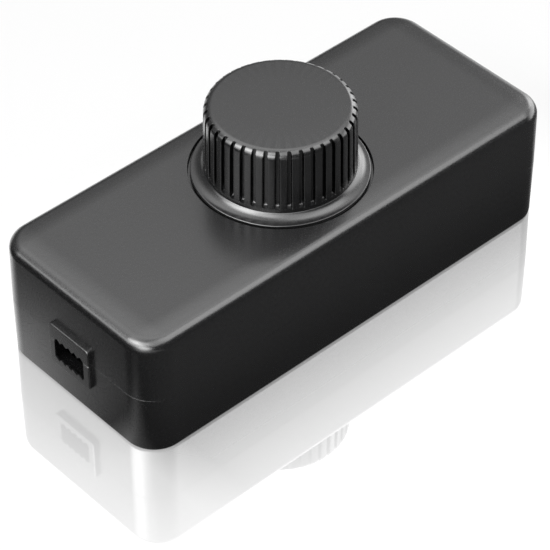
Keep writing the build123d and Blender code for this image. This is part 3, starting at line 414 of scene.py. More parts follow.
def node_group(name, inputs, outputs):
    """Starts an effect with named inputs and outputs."""
    group = bpy.data.node_groups.new(name, "ShaderNodeTree")
    for label, kind, default in inputs:
        socket = group.interface.new_socket(name=label, in_out="INPUT", socket_type=kind)
        socket.default_value = default
    for label, kind in outputs:
        group.interface.new_socket(name=label, in_out="OUTPUT", socket_type=kind)
    return group, group.nodes.new("NodeGroupInput"), group.nodes.new("NodeGroupOutput")


def feed(tree, socket, item):
    """Links another node's output to a socket, or puts a plain value on it."""
    if isinstance(item, bpy.types.NodeSocket):
        tree.links.new(item, socket)
    else:
        socket.default_value = item


def noise(tree, scale, detail, vector):
    """A noise texture on a coordinate."""
    node = tree.nodes.new("ShaderNodeTexNoise")
    for label, item in (("Scale", scale), ("Detail", detail), ("Vector", vector)):
        feed(tree, node.inputs[label], item)
    return node.outputs["Fac"]


def arithmetic(tree, operation, value, other=0.0):
    """One calculation on a value."""
    node = tree.nodes.new("ShaderNodeMath")
    node.operation = operation
    feed(tree, node.inputs[0], value)
    feed(tree, node.inputs[1], other)
    return node.outputs["Value"]


def product(tree, value, *others):
    """Several values multiplied."""
    for other in others:
        value = arithmetic(tree, "MULTIPLY", value, other)
    return value


def total(tree, value, *others):
    """Several values added up."""
    for other in others:
        value = arithmetic(tree, "ADD", value, other)
    return value


def distance(tree, first, second):
    """Length of a flat vector of two parts."""
    squares = [arithmetic(tree, "POWER", part, 2.0) for part in (first, second)]
    return arithmetic(tree, "SQRT", total(tree, *squares))


def mixed(tree, share, first, second):
    """A colour between two colours."""
    node = tree.nodes.new("ShaderNodeMix")
    node.data_type = "RGBA"
    for socket, item in ((node.inputs["Factor"], share), (node.inputs[6], first), (node.inputs[7], second)):
        feed(tree, socket, item)
    return node.outputs[2]


def blend(tree, share, first, second):
    """A shader between two shaders."""
    node = tree.nodes.new("ShaderNodeMixShader")
    for socket, item in zip(node.inputs, (share, first, second)):
        tree.links.new(item, socket)
    return node.outputs["Shader"]


def value_range(tree, value, low, high, to_low, to_high):
    """Maps a value from one range to another."""
    node = tree.nodes.new("ShaderNodeMapRange")
    labels = ("Value", "From Min", "From Max", "To Min", "To Max")
    for label, item in zip(labels, (value, low, high, to_low, to_high)):
        feed(tree, node.inputs[label], item)
    return node.outputs["Result"]


def colour_ramp(tree, factor, stops, interpolation="LINEAR"):
    """A colour ramp through (position, colour) stops."""
    node = tree.nodes.new("ShaderNodeValToRGB")
    bar = node.color_ramp
    bar.interpolation = interpolation
    bar.elements.remove(bar.elements[1])
    bar.elements[0].position, bar.elements[0].color = stops[0]
    for position, tone in stops[1:]:
        bar.elements.new(position).color = tone
    tree.links.new(factor, node.inputs["Fac"])
    return node


def coordinates(tree, kind="Object"):
    """A coordinate, and its parts along X, Y and Z."""
    where = tree.nodes.new("ShaderNodeTexCoord").outputs[kind]
    split = tree.nodes.new("ShaderNodeSeparateXYZ")
    tree.links.new(where, split.inputs["Vector"])
    return where, [split.outputs[axis] for axis in "XYZ"]


def grain_group():
    """Fine spark-eroded grain with a faint broad mottling, as on moulded plastic."""
    group = bpy.data.node_groups.get("Moulded grain")
    if group:
        return group
    group, source, sink = node_group(
        "Moulded grain",
        [("Grain Scale", "NodeSocketFloat", 4200.0), ("Roughness Low", "NodeSocketFloat", 0.34),
         ("Roughness High", "NodeSocketFloat", 0.46)],
        [("Mottle", "NodeSocketFloat"), ("Roughness", "NodeSocketFloat"), ("Height", "NodeSocketFloat")],
    )
    place_node = group.nodes.new("ShaderNodeTexCoord")
    fine = noise(group, source.outputs["Grain Scale"], 2.0, place_node.outputs["Object"])
    pebble = noise(group, 1900.0, 1.0, place_node.outputs["Object"])
    broad = noise(group, 160.0, 4.0, place_node.outputs["Object"])
    roughs = [source.outputs[label] for label in ("Roughness Low", "Roughness High")]
    rough = value_range(group, fine, 0.3, 0.7, *roughs)
    group.links.new(broad, sink.inputs["Mottle"])
    group.links.new(rough, sink.inputs["Roughness"])
    relief = arithmetic(group, "ADD", pebble, arithmetic(group, "MULTIPLY", fine, 0.22))
    group.links.new(relief, sink.inputs["Height"])
    return group


def streak_group():
    """Fine lines along one axis, as on drawn, rolled or turned metal."""
    group = bpy.data.node_groups.get("Drawn metal")
    if group:
        return group
    group, source, sink = node_group(
        "Drawn metal",
        [("Stretch", "NodeSocketVector", (1.0, 1.0, 1.0)), ("Roughness Low", "NodeSocketFloat", 0.22),
         ("Roughness High", "NodeSocketFloat", 0.42)],
        [("Tone", "NodeSocketFloat"), ("Roughness", "NodeSocketFloat"), ("Height", "NodeSocketFloat")],
    )
    place_node = group.nodes.new("ShaderNodeTexCoord")
    stretch = group.nodes.new("ShaderNodeVectorMath")
    stretch.operation = "MULTIPLY"
    group.links.new(place_node.outputs["Object"], stretch.inputs[0])
    group.links.new(source.outputs["Stretch"], stretch.inputs[1])
    lines = noise(group, 1500.0, 3.0, stretch.outputs["Vector"])
    tone = noise(group, 260.0, 3.0, place_node.outputs["Object"])
    roughs = [source.outputs[label] for label in ("Roughness Low", "Roughness High")]
    rough = value_range(group, lines, 0.3, 0.7, *roughs)
    group.links.new(tone, sink.inputs["Tone"])
    group.links.new(rough, sink.inputs["Roughness"])
    group.links.new(lines, sink.inputs["Height"])
    return group


def shaded(name, group, group_values, base, spread, tone_output, bump, metallic=0.0):
    """A finish whose colour, roughness and bump follow an effect."""
    material = bpy.data.materials.get(name)
    if material:
        return material
    material = bpy.data.materials.new(name)
    material.use_nodes = True
    tree = material.node_tree
    shader = tree.nodes["Principled BSDF"]
    shader.inputs["Metallic"].default_value = metallic
    effect = tree.nodes.new("ShaderNodeGroup")
    effect.node_tree = group
    for label, value in group_values.items():
        effect.inputs[label].default_value = value
    tones = [(*[min(1.0, channel * share) for channel in base], 1) for share in (1 - spread, 1 + spread)]
    ramp = colour_ramp(tree, effect.outputs[tone_output], list(zip((0.3, 0.7), tones)))
    relief = tree.nodes.new("ShaderNodeBump")
    relief.inputs["Strength"].default_value = 1.0
    relief.inputs["Distance"].default_value = bump
    tree.links.new(ramp.outputs["Color"], shader.inputs["Base Color"])
    tree.links.new(effect.outputs["Roughness"], shader.inputs["Roughness"])
    tree.links.new(effect.outputs["Height"], relief.inputs["Height"])
    tree.links.new(relief.outputs["Normal"], shader.inputs["Normal"])
    return material


def plastic(name, base, rough=(0.21, 0.29), grain=6000.0, pebble=0.0065 * MM, spread=0.05):
    """Satin moulded plastic."""
    values = {"Grain Scale": grain, "Roughness Low": rough[0], "Roughness High": rough[1]}
    return shaded(name, grain_group(), values, base, spread, "Mottle", pebble)


def metal(name, base, rough=(0.22, 0.42), stretch=(1.0, 1.0, 0.08), bump=0.002 * MM):
    """Plain or plated metal with fine lines."""
    values = {"Stretch": stretch, "Roughness Low": rough[0], "Roughness High": rough[1]}
    return shaded(name, streak_group(), values, base, 0.06, "Tone", bump, metallic=1.0)


def finishes():
    """Colours of the finishes."""
    return bpy.context.scene.dimmer_finishes


def case_plastic():
    """Plastic of the two shells."""
    return plastic("Moulded plastic", finishes().case_plastic)


# Painted shade on the knob's groove walls. Each range is (from low, from high, value at low, value at high), for
# the rib phase, the distance from the axis and the height.
GROOVE_SHADE_WALL = ((0.14, 0.165, 0.0, 1.0), (0.19, 0.215, 1.0, 0.0))
GROOVE_SHADE_REACH = (11.0 * MM, 11.3 * MM, 0.0, 0.9)
GROOVE_SHADE_LEVEL = (24.3 * MM, 24.6 * MM, 0.0, 1.0)


def knob_plastic():
    """Plastic of the knob, with painted shade: its colour is painted black on the steep walls of its grooves."""
    material = plastic("Knob plastic", finishes().knob_plastic, rough=(0.21, 0.28), pebble=0.0015 * MM)
    tree = material.node_tree
    base = tree.nodes["Principled BSDF"].inputs["Base Color"]
    _, (x, y, z) = coordinates(tree)
    ribs = bpy.context.scene.dimmer_knob.rib_count
    turn = product(tree, arithmetic(tree, "ARCTAN2", y, x), ribs / (2 * pi))
    phase = arithmetic(tree, "PINGPONG", turn, 0.5)
    # Painted shade: the base colour is mixed to black on the steep walls of the grooves.
    share = product(
        tree, *[value_range(tree, phase, *part) for part in GROOVE_SHADE_WALL],
        value_range(tree, distance(tree, x, y), *GROOVE_SHADE_REACH), value_range(tree, z, *GROOVE_SHADE_LEVEL),
    )
    tree.links.new(mixed(tree, share, base.links[0].from_socket, (0.0, 0.0, 0.0, 1)), base)
    return material


def rotor_moulding():
    """Plastic of the control's rotor."""
    return plastic("Rotor moulding", finishes().dark_moulding)


def triac_moulding():
    """Epoxy of the triac's body."""
    return plastic("Triac moulding", finishes().dark_moulding, rough=(0.5, 0.65))


def fuse_moulding():
    """Plastic of the fuse."""
    return plastic("Fuse moulding", finishes().dark_moulding, rough=(0.2, 0.3))


def block_plastic():
    """Plastic of the terminal blocks."""
    return plastic("Block plastic", finishes().block_plastic)


def film_box():
    """Box of the film capacitor."""
    return plastic("Film capacitor box", finishes().film_box, rough=(0.3, 0.4))


def timing_box():
    """Box of the timing capacitor."""
    return plastic("Timing capacitor box", finishes().timing_box, rough=(0.25, 0.35))


def ferrite():
    """Sintered core of the choke."""
    return plastic("Ferrite", finishes().ferrite, rough=(0.55, 0.75), grain=9000.0)


def board_laminate():
    """Fibre laminate of the circuit board."""
    return plastic("Board laminate", finishes().laminate, rough=(0.4, 0.6), grain=2600.0, spread=0.18)


def track_laminate():
    """Laminate of the control's track plate."""
    return plastic("Track laminate", finishes().track_laminate, rough=(0.4, 0.6), grain=2600.0, spread=0.18)


def zinc():
    """Zinc plating of the screws and the bushing."""
    return metal("Zinc plating", finishes().zinc)


def nickel():
    """Nickel plating of the nut and the washer."""
    return metal("Nickel plating", finishes().nickel, rough=(0.16, 0.3))


def can_steel():
    """Stamped steel of the control's can."""
    return metal("Can steel", finishes().zinc, rough=(0.25, 0.45), stretch=(1.0, 0.08, 1.0))


def shaft_alloy():
    """Turned shaft of the control."""
    return metal("Shaft alloy", finishes().nickel, rough=(0.2, 0.36), stretch=(0.1, 0.1, 1.0))


def spring_steel():
    """Steel of the shaft's clip."""
    return metal("Spring steel", finishes().spring_steel)


def bronze():
    """Bronze of the wiper."""
    return metal("Wiper bronze", finishes().bronze)


def tin():
    """Tinned terminals and cages."""
    return metal("Tinned brass", finishes().tin, rough=(0.28, 0.45))


def aluminium():
    """Rolled aluminium of the heat sink."""
    return metal("Aluminium", finishes().aluminium, rough=(0.3, 0.48), stretch=(0.06, 1.0, 1.0))


def copper():
    """Enamelled wire of the choke."""
    return metal("Enamelled copper", finishes().copper, rough=(0.15, 0.26))


def lying_component(name, body, bands, centre, half_length):
    """Lying component whose coat has coloured bands round it, and whose bare leads are tinned."""
    material = plastic(name, body, rough=(0.25, 0.4))
    tree = material.node_tree
    shader = tree.nodes["Principled BSDF"]
    base = shader.inputs["Base Color"]
    coat = base.links[0].from_socket
    _, (x, _, _) = coordinates(tree)
    offset = arithmetic(tree, "SUBTRACT", arithmetic(tree, "ABSOLUTE", x), centre)
    along = value_range(tree, offset, -half_length, half_length, 0.0, 1.0)
    half_band = 0.035
    stops = [(0.0, (0, 0, 0, 0))]
    for middle, shade in bands:
        stops += [(middle - half_band, (*shade, 1.0)), (middle + half_band, (*shade, 0.0))]
    ramp = colour_ramp(tree, along, stops, "CONSTANT")
    banded = mixed(tree, ramp.outputs["Alpha"], coat, ramp.outputs["Color"])
    bare = arithmetic(tree, "GREATER_THAN", arithmetic(tree, "ABSOLUTE", offset), half_length)
    tree.links.new(mixed(tree, bare, banded, (*finishes().tin, 1)), base)
    tree.links.new(bare, shader.inputs["Metallic"])
    return material


def resistor_coat():
    """Coat of the resistors with their four colour bands."""
    sizes = bpy.context.scene.dimmer_fasteners
    bands = ((0.2, (0.25, 0.12, 0.01)), (0.38, (0.02, 0.02, 0.02)), (0.54, (0.5, 0.13, 0.01)),
             (0.8, (0.45, 0.3, 0.06)))
    return lying_component(
        "Resistor coat", finishes().resistor_coat, bands, sizes.resistor_centre, sizes.resistor_half
    )


def diac_glass():
    """Glass body of the diac with its blue band."""
    low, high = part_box("diac")
    half = bpy.context.scene.dimmer_fasteners.diac_half
    bands = ((0.24, (0.02, 0.05, 0.3)),)
    return lying_component("Diac glass", finishes().diac_glass, bands, (low[0] + high[0]) / 2, half)


# Case

INNER_EDGE = 0.6 * MM
RABBET_INSET, RABBET_RISE = 1.0 * MM, 1.4 * MM
TONGUE_INSET, TONGUE_RISE, TONGUE_ROOT = 1.1 * MM, 1.2 * MM, 0.5 * MM
SLOT_GAP = 5.5 * MM
UPPER_POST, UPPER_PILOT, PILOT_DEPTH = 2.7 * MM, 1.18 * MM, 6.4 * MM
LOWER_POST, LOWER_HOLE, COUNTERBORE = 3.7 * MM, 1.3 * MM, 2.45 * MM
BOARD_POST, BOARD_PILOT, BOARD_PEG = 2.3 * MM, 1.13 * MM, 1.2 * MM
CORD_RIB_HALF, CORD_RIB_HALF_LENGTH = 0.7 * MM, 5 * MM
BLOCK_RIB_HALF, BLOCK_RIB_HALF_LENGTH, BLOCK_GAP = 0.6 * MM, 4.5 * MM, 0.15 * MM
CORD_ABOVE, CORD_BELOW = 0.16 * MM, 2.95 * MM
TOOTH_THICKNESS, RELIEF_HALF_WIDTH = 0.3 * MM, 4 * MM
RECESS_RING, BUSHING_HOLE = 1.8 * MM, 3.6 * MM


def case_block(sizes, inset, wide, narrow, draft=0.0):
    """Block with the case's outline, drawn in by an inset."""
    return drafted_block(sizes.length - 2 * inset, sizes.width - 2 * inset, sizes.corner_radius - inset,
                         wide, narrow, draft)


def outer_form(sizes, edge_level, edge_radius, edge_steps):
    """Outside of one shell, from the seam to its rounded edge."""
    body = case_block(sizes, 0.0, sizes.seam_height, edge_level, sizes.draft)
    round_edges(body, edges_at(body, edge_level), edge_radius, edge_steps)
    return body


def with_plates(sizes, body, bevel, level):
    """Bevels a shell at the seam and adds its two end plates, which reach to a level."""
    round_edges(body, edges_at(body, sizes.seam_height), bevel, 1)
    return combine(body, [end_plate(side, level, sizes.seam_height) for side in (-1, 1)], "UNION")


def shell_cavity(sizes, start, end):
    """Inside of one shell, from beyond the seam to its rounded end."""
    cavity = case_block(sizes, sizes.wall, start, end, sizes.draft)
    round_edges(cavity, edges_at(cavity, end), INNER_EDGE, 3)
    return cavity


def slot_stop(sizes, low, high):
    """Block that breaks the tongue or the rabbet behind the two slots."""
    return solid_block((-sizes.length, -SLOT_GAP, low), (sizes.length, SLOT_GAP, high))


def end_plate(side, level, seam):
    """Raised plate round one half of the cord slot, from the seam to its own level."""
    sizes = bpy.context.scene.dimmer_case
    inner = sizes.length / 2 - sizes.wall / 2
    low, high = sorted((level, seam))
    ends = sorted((side * inner, side * END_REACH))
    bm = solid_block((ends[0], -sizes.plate_width / 2, low), (ends[1], sizes.plate_width / 2, high))
    round_edges(bm, [edge for edge in bm.edges if at_level(edge, level) and
                     abs(edge.verts[0].co.x - edge.verts[1].co.x) > 1e-6], sizes.plate_corner, 6)
    rim = [edge for edge in bm.edges if at_level(edge, side * END_REACH, 0) and not at_level(edge, seam)]
    round_edges(bm, rim, sizes.plate_edge, 3)
    seam_edges = [edge for edge in bm.edges if at_level(edge, seam) and not at_level(edge, side * inner, 0)]
    round_edges(bm, seam_edges, sizes.seam_bevel, 1)
    return bm


def slot_cutter(side, seam, level, depth, lean):
    """Solid that cuts one toothed half of the cord slot through an end wall."""
    sizes = bpy.context.scene.dimmer_case
    width = sizes.tooth_count * sizes.tooth_pitch
    beyond = copysign(2 * MM, -depth)
    outline = [(-width / 2, seam + beyond), (-width / 2, level)]
    for number in range(sizes.tooth_count):
        left = -width / 2 + number * sizes.tooth_pitch
        outline += [(left + lean * sizes.tooth_pitch, level + depth), (left + sizes.tooth_pitch, level)]
    outline.append((width / 2, seam + beyond))
    start = side * (END_REACH + MM)
    points = [(start, side * across, height) for across, height in outline]
    return prism(points, (-side * (sizes.wall + 2.7 * MM), 0, 0))


def slot_relief(side, low, high):
    """Pocket behind the slot's teeth, which leaves them thin."""
    sizes = bpy.context.scene.dimmer_case
    ends = sorted((side * (END_REACH - TOOTH_THICKNESS), side * (sizes.length / 2 - sizes.wall - 0.5 * MM)))
    return solid_block((ends[0], -RELIEF_HALF_WIDTH, low), (ends[1], RELIEF_HALF_WIDTH, high))


def screw_places():
    """Places of the four case screws."""
    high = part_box("case_screws")[1]
    head = bpy.context.scene.dimmer_fasteners.head_radius
    return [(x, y) for x in (head - high[0], high[0] - head) for y in (head - high[1], high[1] - head)]


def board_post_place():
    """Place of the circuit board's back right post; the other three mirror it."""
    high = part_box("board_screws")[1]
    return high[0] - 2.0 * MM, high[1] - 2.0 * MM


def cross_ribs(x, half_thickness, half_length, low, high):
    """Two ribs across the case, at the same distance from its middle."""
    return [solid_block((at - half_thickness, -half_length, low), (at + half_thickness, half_length, high))
            for at in (-x, x)]


class DIMMER_OT_upper_shell(bpy.types.Operator):
    """Build the upper case shell with its recess, plates and toothed slots"""

    bl_idname = "dimmer.upper_shell"
    bl_label = "Upper shell"

    def execute(self, context):
        sizes = context.scene.dimmer_case
        seam = sizes.seam_height
        body = outer_form(sizes, CASE_TOP - sizes.crown_rise, sizes.top_edge_radius, 12)
        crowned(body, sizes.crown_width, sizes.crown_rise)
        body = with_plates(sizes, body, sizes.seam_bevel, seam + sizes.plate_rise)
        rabbet = case_block(sizes, RABBET_INSET, seam - MM, seam + RABBET_RISE)
        rabbet = combine(rabbet, [slot_stop(sizes, seam - 2 * MM, seam + 2 * MM)], "DIFFERENCE")
        cavity = shell_cavity(sizes, seam - MM, CASE_TOP - sizes.top_wall)
        body = combine(body, [cavity, rabbet], "DIFFERENCE")
        panel = CASE_TOP - sizes.recess_depth - sizes.panel_thickness
        body = combine(body, self.inside(sizes, seam, panel), "UNION")
        body = combine(body, self.cuts(sizes, seam, panel), "DIFFERENCE")
        piece = finished_piece("Upper_shell", body, case_plastic(), "case")
        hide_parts("upper_shell")
        return {"FINISHED"}

    def inside(self, sizes, seam, panel):
        """Ring under the recess, posts with their webs, and ribs on the blocks and cords."""
        buried = CASE_TOP - sizes.top_wall / 2
        solids = [cylinder(sizes.recess_radius + RECESS_RING, panel, buried, steps=96)]
        web, web_foot = sizes.web / 2, seam + RABBET_RISE
        for x, y in screw_places():
            ends_x = sorted((x, copysign((sizes.length - sizes.wall) / 2, x)))
            ends_y = sorted((y, copysign((sizes.width - sizes.wall) / 2, y)))
            solids += [cylinder(UPPER_POST, seam, buried, x, y),
                       solid_block((ends_x[0], y - web, web_foot), (ends_x[1], y + web, buried)),
                       solid_block((x - web, ends_y[0], web_foot), (x + web, ends_y[1], buried))]
        low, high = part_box("output_terminal_block")
        solids += cross_ribs((low[0] + high[0]) / 2, BLOCK_RIB_HALF, BLOCK_RIB_HALF_LENGTH,
                             high[2] + BLOCK_GAP, buried)
        solids += cross_ribs(sizes.upper_cord_rib, CORD_RIB_HALF, CORD_RIB_HALF_LENGTH,
                             seam - CORD_ABOVE, buried)
        return solids

    def cuts(self, sizes, seam, panel):
        """Recess, hole and notch of the control, pilot holes and slots."""
        floor = CASE_TOP - sizes.recess_depth
        lip, radius = 0.06 * MM, sizes.recess_radius
        recess = turned([(0, floor), (radius - 0.1 * MM, floor), (radius, floor + 0.1 * MM),
                         (radius, CASE_TOP - lip), (radius + 0.35 * lip, CASE_TOP - 0.35 * lip),
                         (radius + lip, CASE_TOP), (radius + lip, CASE_TOP + MM), (0, CASE_TOP + MM)], 160)
        notch = solid_block((5.95 * MM, -1.35 * MM, panel - MM), (7.25 * MM, 1.35 * MM, panel + 1.15 * MM))
        solids = [recess, cylinder(BUSHING_HOLE, panel - MM, CASE_TOP), notch]
        solids += [cylinder(UPPER_PILOT, seam - MM, seam + PILOT_DEPTH, x, y, 32) for x, y in screw_places()]
        for side in (-1, 1):
            level = seam + sizes.slot_rise
            solids += [slot_cutter(side, seam, level, sizes.tooth_depth, sizes.upper_lean),
                       slot_relief(side, seam - MM, seam + 1.7 * MM)]
        return solids


class DIMMER_OT_lower_shell(bpy.types.Operator):
    """Build the lower case shell with its posts, plates and toothed slots"""

    bl_idname = "dimmer.lower_shell"
    bl_label = "Lower shell"

    def execute(self, context):
        sizes = context.scene.dimmer_case
        seam = sizes.seam_height
        body = outer_form(sizes, 0.0, sizes.bottom_edge_radius, 4)
        body = with_plates(sizes, body, sizes.rim_bevel, seam - sizes.plate_drop)
        body = combine(body, [shell_cavity(sizes, seam + MM, sizes.floor)], "DIFFERENCE")
        tongue = case_block(sizes, TONGUE_INSET, seam - TONGUE_ROOT, seam + TONGUE_RISE)
        hollow = case_block(sizes, sizes.wall, seam - MM, seam + 2 * MM)
        tongue = combine(tongue, [hollow, slot_stop(sizes, seam - MM, seam + 2 * MM)], "DIFFERENCE")
        body = combine(body, [tongue, *self.inside(sizes, seam)], "UNION")
        body = combine(body, self.cuts(sizes, seam), "DIFFERENCE")
        piece = finished_piece("Lower_shell", body, case_plastic(), "case")
        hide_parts("lower_shell")
        return {"FINISHED"}

    def inside(self, sizes, seam):
        """Posts of the case and of the board, the board's two pegs, and the cord ribs."""
        base = sizes.floor / 2
        board_x, board_y = board_post_place()
        board_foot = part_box("board_screws")[1][2] - 3.0 * MM
        solids = [cylinder(LOWER_POST, base, seam, x, y, 64) for x, y in screw_places()]
        solids += [cylinder(BOARD_POST, base, board_foot, x, y)
                   for x in (-board_x, board_x) for y in (-board_y, board_y)]
        for x, y in ((board_x, board_y), (-board_x, -board_y)):
            solids.append(cylinder(BOARD_PEG, 3 * MM, board_foot + 2.2 * MM, x, y, 32))
        return solids + cross_ribs(sizes.lower_cord_rib, CORD_RIB_HALF, CORD_RIB_HALF_LENGTH,
                                   base, seam - CORD_BELOW)

    def cuts(self, sizes, seam):
        """Screw holes with their counterbores, the board's pilot holes and slots."""
        board_x, board_y = board_post_place()
        solids = []
        for x, y in screw_places():
            solids += [cylinder(LOWER_HOLE, -MM, seam + MM, x, y, 32),
                       cylinder(COUNTERBORE, -MM, SCREW_SEAT, x, y, 48)]
        for x, y in ((board_x, -board_y), (-board_x, board_y)):
            solids.append(cylinder(BOARD_PILOT, 2.3 * MM, 7 * MM, x, y, 32))
        for side in (-1, 1):
            level = seam - sizes.slot_drop
            solids += [slot_cutter(side, seam, level, -sizes.tooth_depth, sizes.lower_lean),
                       slot_relief(side, level - 1.3 * MM, seam + MM)]
        return solids


# Knob

RIB_HALF = [
    (0.1, 1.0), (0.145, 0.98), (0.168, 0.9), (0.18, 0.5), (0.19, 0.13), (0.212, 0.035), (0.25, 0.0),
    (0.38, 0.0),
]
RIB_COLUMNS = [(-0.5, 0.0), *[(-phase, share) for phase, share in reversed(RIB_HALF)], (0.0, 1.0), *RIB_HALF]
SPOKE_HALF = 0.5 * MM
GRIP_LEVELS = (0.0, 0.01, 0.04, 0.09, 0.16, 0.25, 0.36, 0.5, 0.7, 1.5, 4.0, 7.0)


def groove_rise(height, foot, radius):
    """How much of its depth a groove has at a height above its rounded foot."""
    above = max(0.0, min(1.0, (height - foot) / radius))
    return sqrt(1 - (1 - above) ** 2)


class DIMMER_OT_knob(bpy.types.Operator):
    """Build the knob: skirt, flare and grooved grip, hollow from below"""

    bl_idname = "dimmer.knob"
    bl_label = "Knob"

    def execute(self, context):
        sizes = context.scene.dimmer_knob
        top, bottom, skirt = KNOB_HIGH[2], KNOB_LOW[2], KNOB_HIGH[0]
        rim, flare, edge = sizes.rim_radius, sizes.flare_radius, sizes.top_edge_radius
        foot, depth = sizes.groove_foot, sizes.groove_depth

        profile = [(0.0, bottom), (skirt - 0.1 * MM, bottom), (skirt, bottom + 0.1 * MM)]
        profile += arc((skirt - rim, sizes.skirt_top - rim), rim, 0, 90, 5)
        slope, ledge = sizes.flare_angle, sizes.ledge
        foot_radius = sizes.base_radius + ledge
        hollow_foot = sizes.skirt_top + flare * (1 - cos(slope))
        flare_centre = (foot_radius + flare * sin(slope), sizes.skirt_top + flare)
        profile += arc(flare_centre, flare, 270, 270 - degrees(slope), 12)
        profile += [(sizes.base_radius + 0.5 * ledge, hollow_foot + 0.6 * ledge),
                    (sizes.base_radius, hollow_foot + ledge), (sizes.base_radius, foot - 0.12 * MM)]
        for rise in GRIP_LEVELS:
            level = foot + rise * MM
            share = (level - foot) / (top - foot)
            profile.append((sizes.base_radius + (sizes.radius - sizes.base_radius) * share, level))
        profile += arc((sizes.radius - edge, top - edge), edge, 2, 90, 14)
        profile += [(0.5 * sizes.radius, top), (0.0, top)]
        columns = len(RIB_COLUMNS)
        grip = turned(profile, columns * sizes.rib_count)

        pitch = 2 * pi / sizes.rib_count
        flat = sizes.radius - edge
        for vert in grip.verts:
            reach = vert.co.xy.length
            if reach < 1e-6:
                continue
            angle = vert.co.xy.angle_signed(Vector((1, 0))) % (2 * pi)
            step = round(angle / (2 * pi) * columns * sizes.rib_count)
            rib, column = divmod(step, columns)
            phase, share = RIB_COLUMNS[column]
            turn = (rib + phase) * pitch
            wanted = reach
            if vert.co.z > foot and reach > flat:
                cut = share * depth * groove_rise(vert.co.z, foot, sizes.groove_end_radius)
                fallen = (sizes.radius - sizes.base_radius) * (vert.co.z - foot) / (top - foot)
                wanted = min(reach, sizes.base_radius + fallen - cut)
            vert.co.x, vert.co.y = wanted * cos(turn), wanted * sin(turn)

        inner_top = top - sizes.roof
        inner = sizes.radius - sizes.wall
        cavity = turned([(0, bottom - MM), (inner, bottom - MM), (inner - 0.15 * MM, inner_top),
                         (0, inner_top)], 96)
        reach, half = inner + MM, SPOKE_HALF
        hub = [cylinder(sizes.hub_radius, sizes.hub_foot, inner_top + MM, steps=64),
               solid_block((-reach, -half, sizes.hub_foot), (reach, half, inner_top + MM)),
               solid_block((-half, -reach, sizes.hub_foot), (half, reach, inner_top + MM))]
        cavity = combine(cavity, hub, "DIFFERENCE")
        bore = cylinder(sizes.bore_radius, sizes.hub_foot - MM, inner_top, steps=48)
        flat_side = solid_block((sizes.flat_offset, -reach, bottom), (reach, reach, top))
        bore = combine(bore, [flat_side], "DIFFERENCE")
        grip = combine(grip, [cavity, bore], "DIFFERENCE")
        piece = finished_piece("Knob_grip", grip, knob_plastic(), "knob", radians(50))
        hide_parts("knob")
        return {"FINISHED"}


# Fasteners of the case and of the rotary control

HEAD_ROUNDING = 0.85 * MM
POINT_LENGTH, POINT_RADIUS = 2.2 * MM, 0.12 * MM
SCREW_THREAD_WIDTH, SCREW_THREAD_START = 0.42 * MM, 0.9 * MM
CROSS_HALF_LENGTH, CROSS_HALF_WIDTH, CROSS_DEPTH, CROSS_TAPER = 1.25 * MM, 0.28 * MM, 0.85 * MM, 0.45
BORE_CHAMFER = 0.35 * MM
FLANGE_THICKNESS, FLANGE_EDGE, FINE_THREAD_DEPTH = 1.2 * MM, 0.15 * MM, 0.24 * MM

def case_screw(sizes):
    """One self-tapping screw with a rounded pan head, a cross recess and a pointed thread, head down."""
    head, core = sizes.head_radius, sizes.core_radius
    foot = SCREW_FOOT
    profile = [(0.0, foot), (0.45 * head, foot + 0.03 * MM)]
    profile += arc((head - HEAD_ROUNDING, foot + 0.9 * MM), HEAD_ROUNDING, 300, 360, 6)
    profile += [(head, SCREW_SEAT - 0.08 * MM), (head - 0.08 * MM, SCREW_SEAT),
                (core + 0.15 * MM, SCREW_SEAT), (core, SCREW_SEAT + 0.25 * MM), (core, SCREW_TIP - POINT_LENGTH),
                (POINT_RADIUS, SCREW_TIP), (0.0, SCREW_TIP)]
    body = turned(profile, 40)
    turns = (SCREW_TIP - 2.6 * MM - SCREW_SEAT) / sizes.screw_pitch
    ridge = helix_ridge(core, sizes.crest_radius - core, sizes.screw_pitch, turns, SCREW_THREAD_WIDTH)
    ridge = place(ridge, Matrix.Translation((0, 0, SCREW_SEAT + SCREW_THREAD_START)))
    body = combine(body, [ridge], "UNION")
    arms = []
    for angle in (0, pi / 2):
        arm = solid_block((-CROSS_HALF_LENGTH, -CROSS_HALF_WIDTH, foot - MM),
                          (CROSS_HALF_LENGTH, CROSS_HALF_WIDTH, foot + CROSS_DEPTH))
        for vert in arm.verts:
            if vert.co.z > foot:
                vert.co.x *= CROSS_TAPER
        arms.append(place(arm, Matrix.Rotation(angle, 4, "Z")))
    return combine(body, arms, "DIFFERENCE")


class DIMMER_OT_case_screws(bpy.types.Operator):
    """Build the four case screws"""

    bl_idname = "dimmer.case_screws"
    bl_label = "Case screws"

    def execute(self, context):
        screw = case_screw(context.scene.dimmer_fasteners)
        copies = [place(screw.copy(), Matrix.Translation((x, y, 0))) for x, y in screw_places()]
        screw.free()
        screws = gather(copies)
        piece = finished_piece("Case_screws", screws, zinc(), "case", radians(40))
        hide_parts("case_screws")
        return {"FINISHED"}


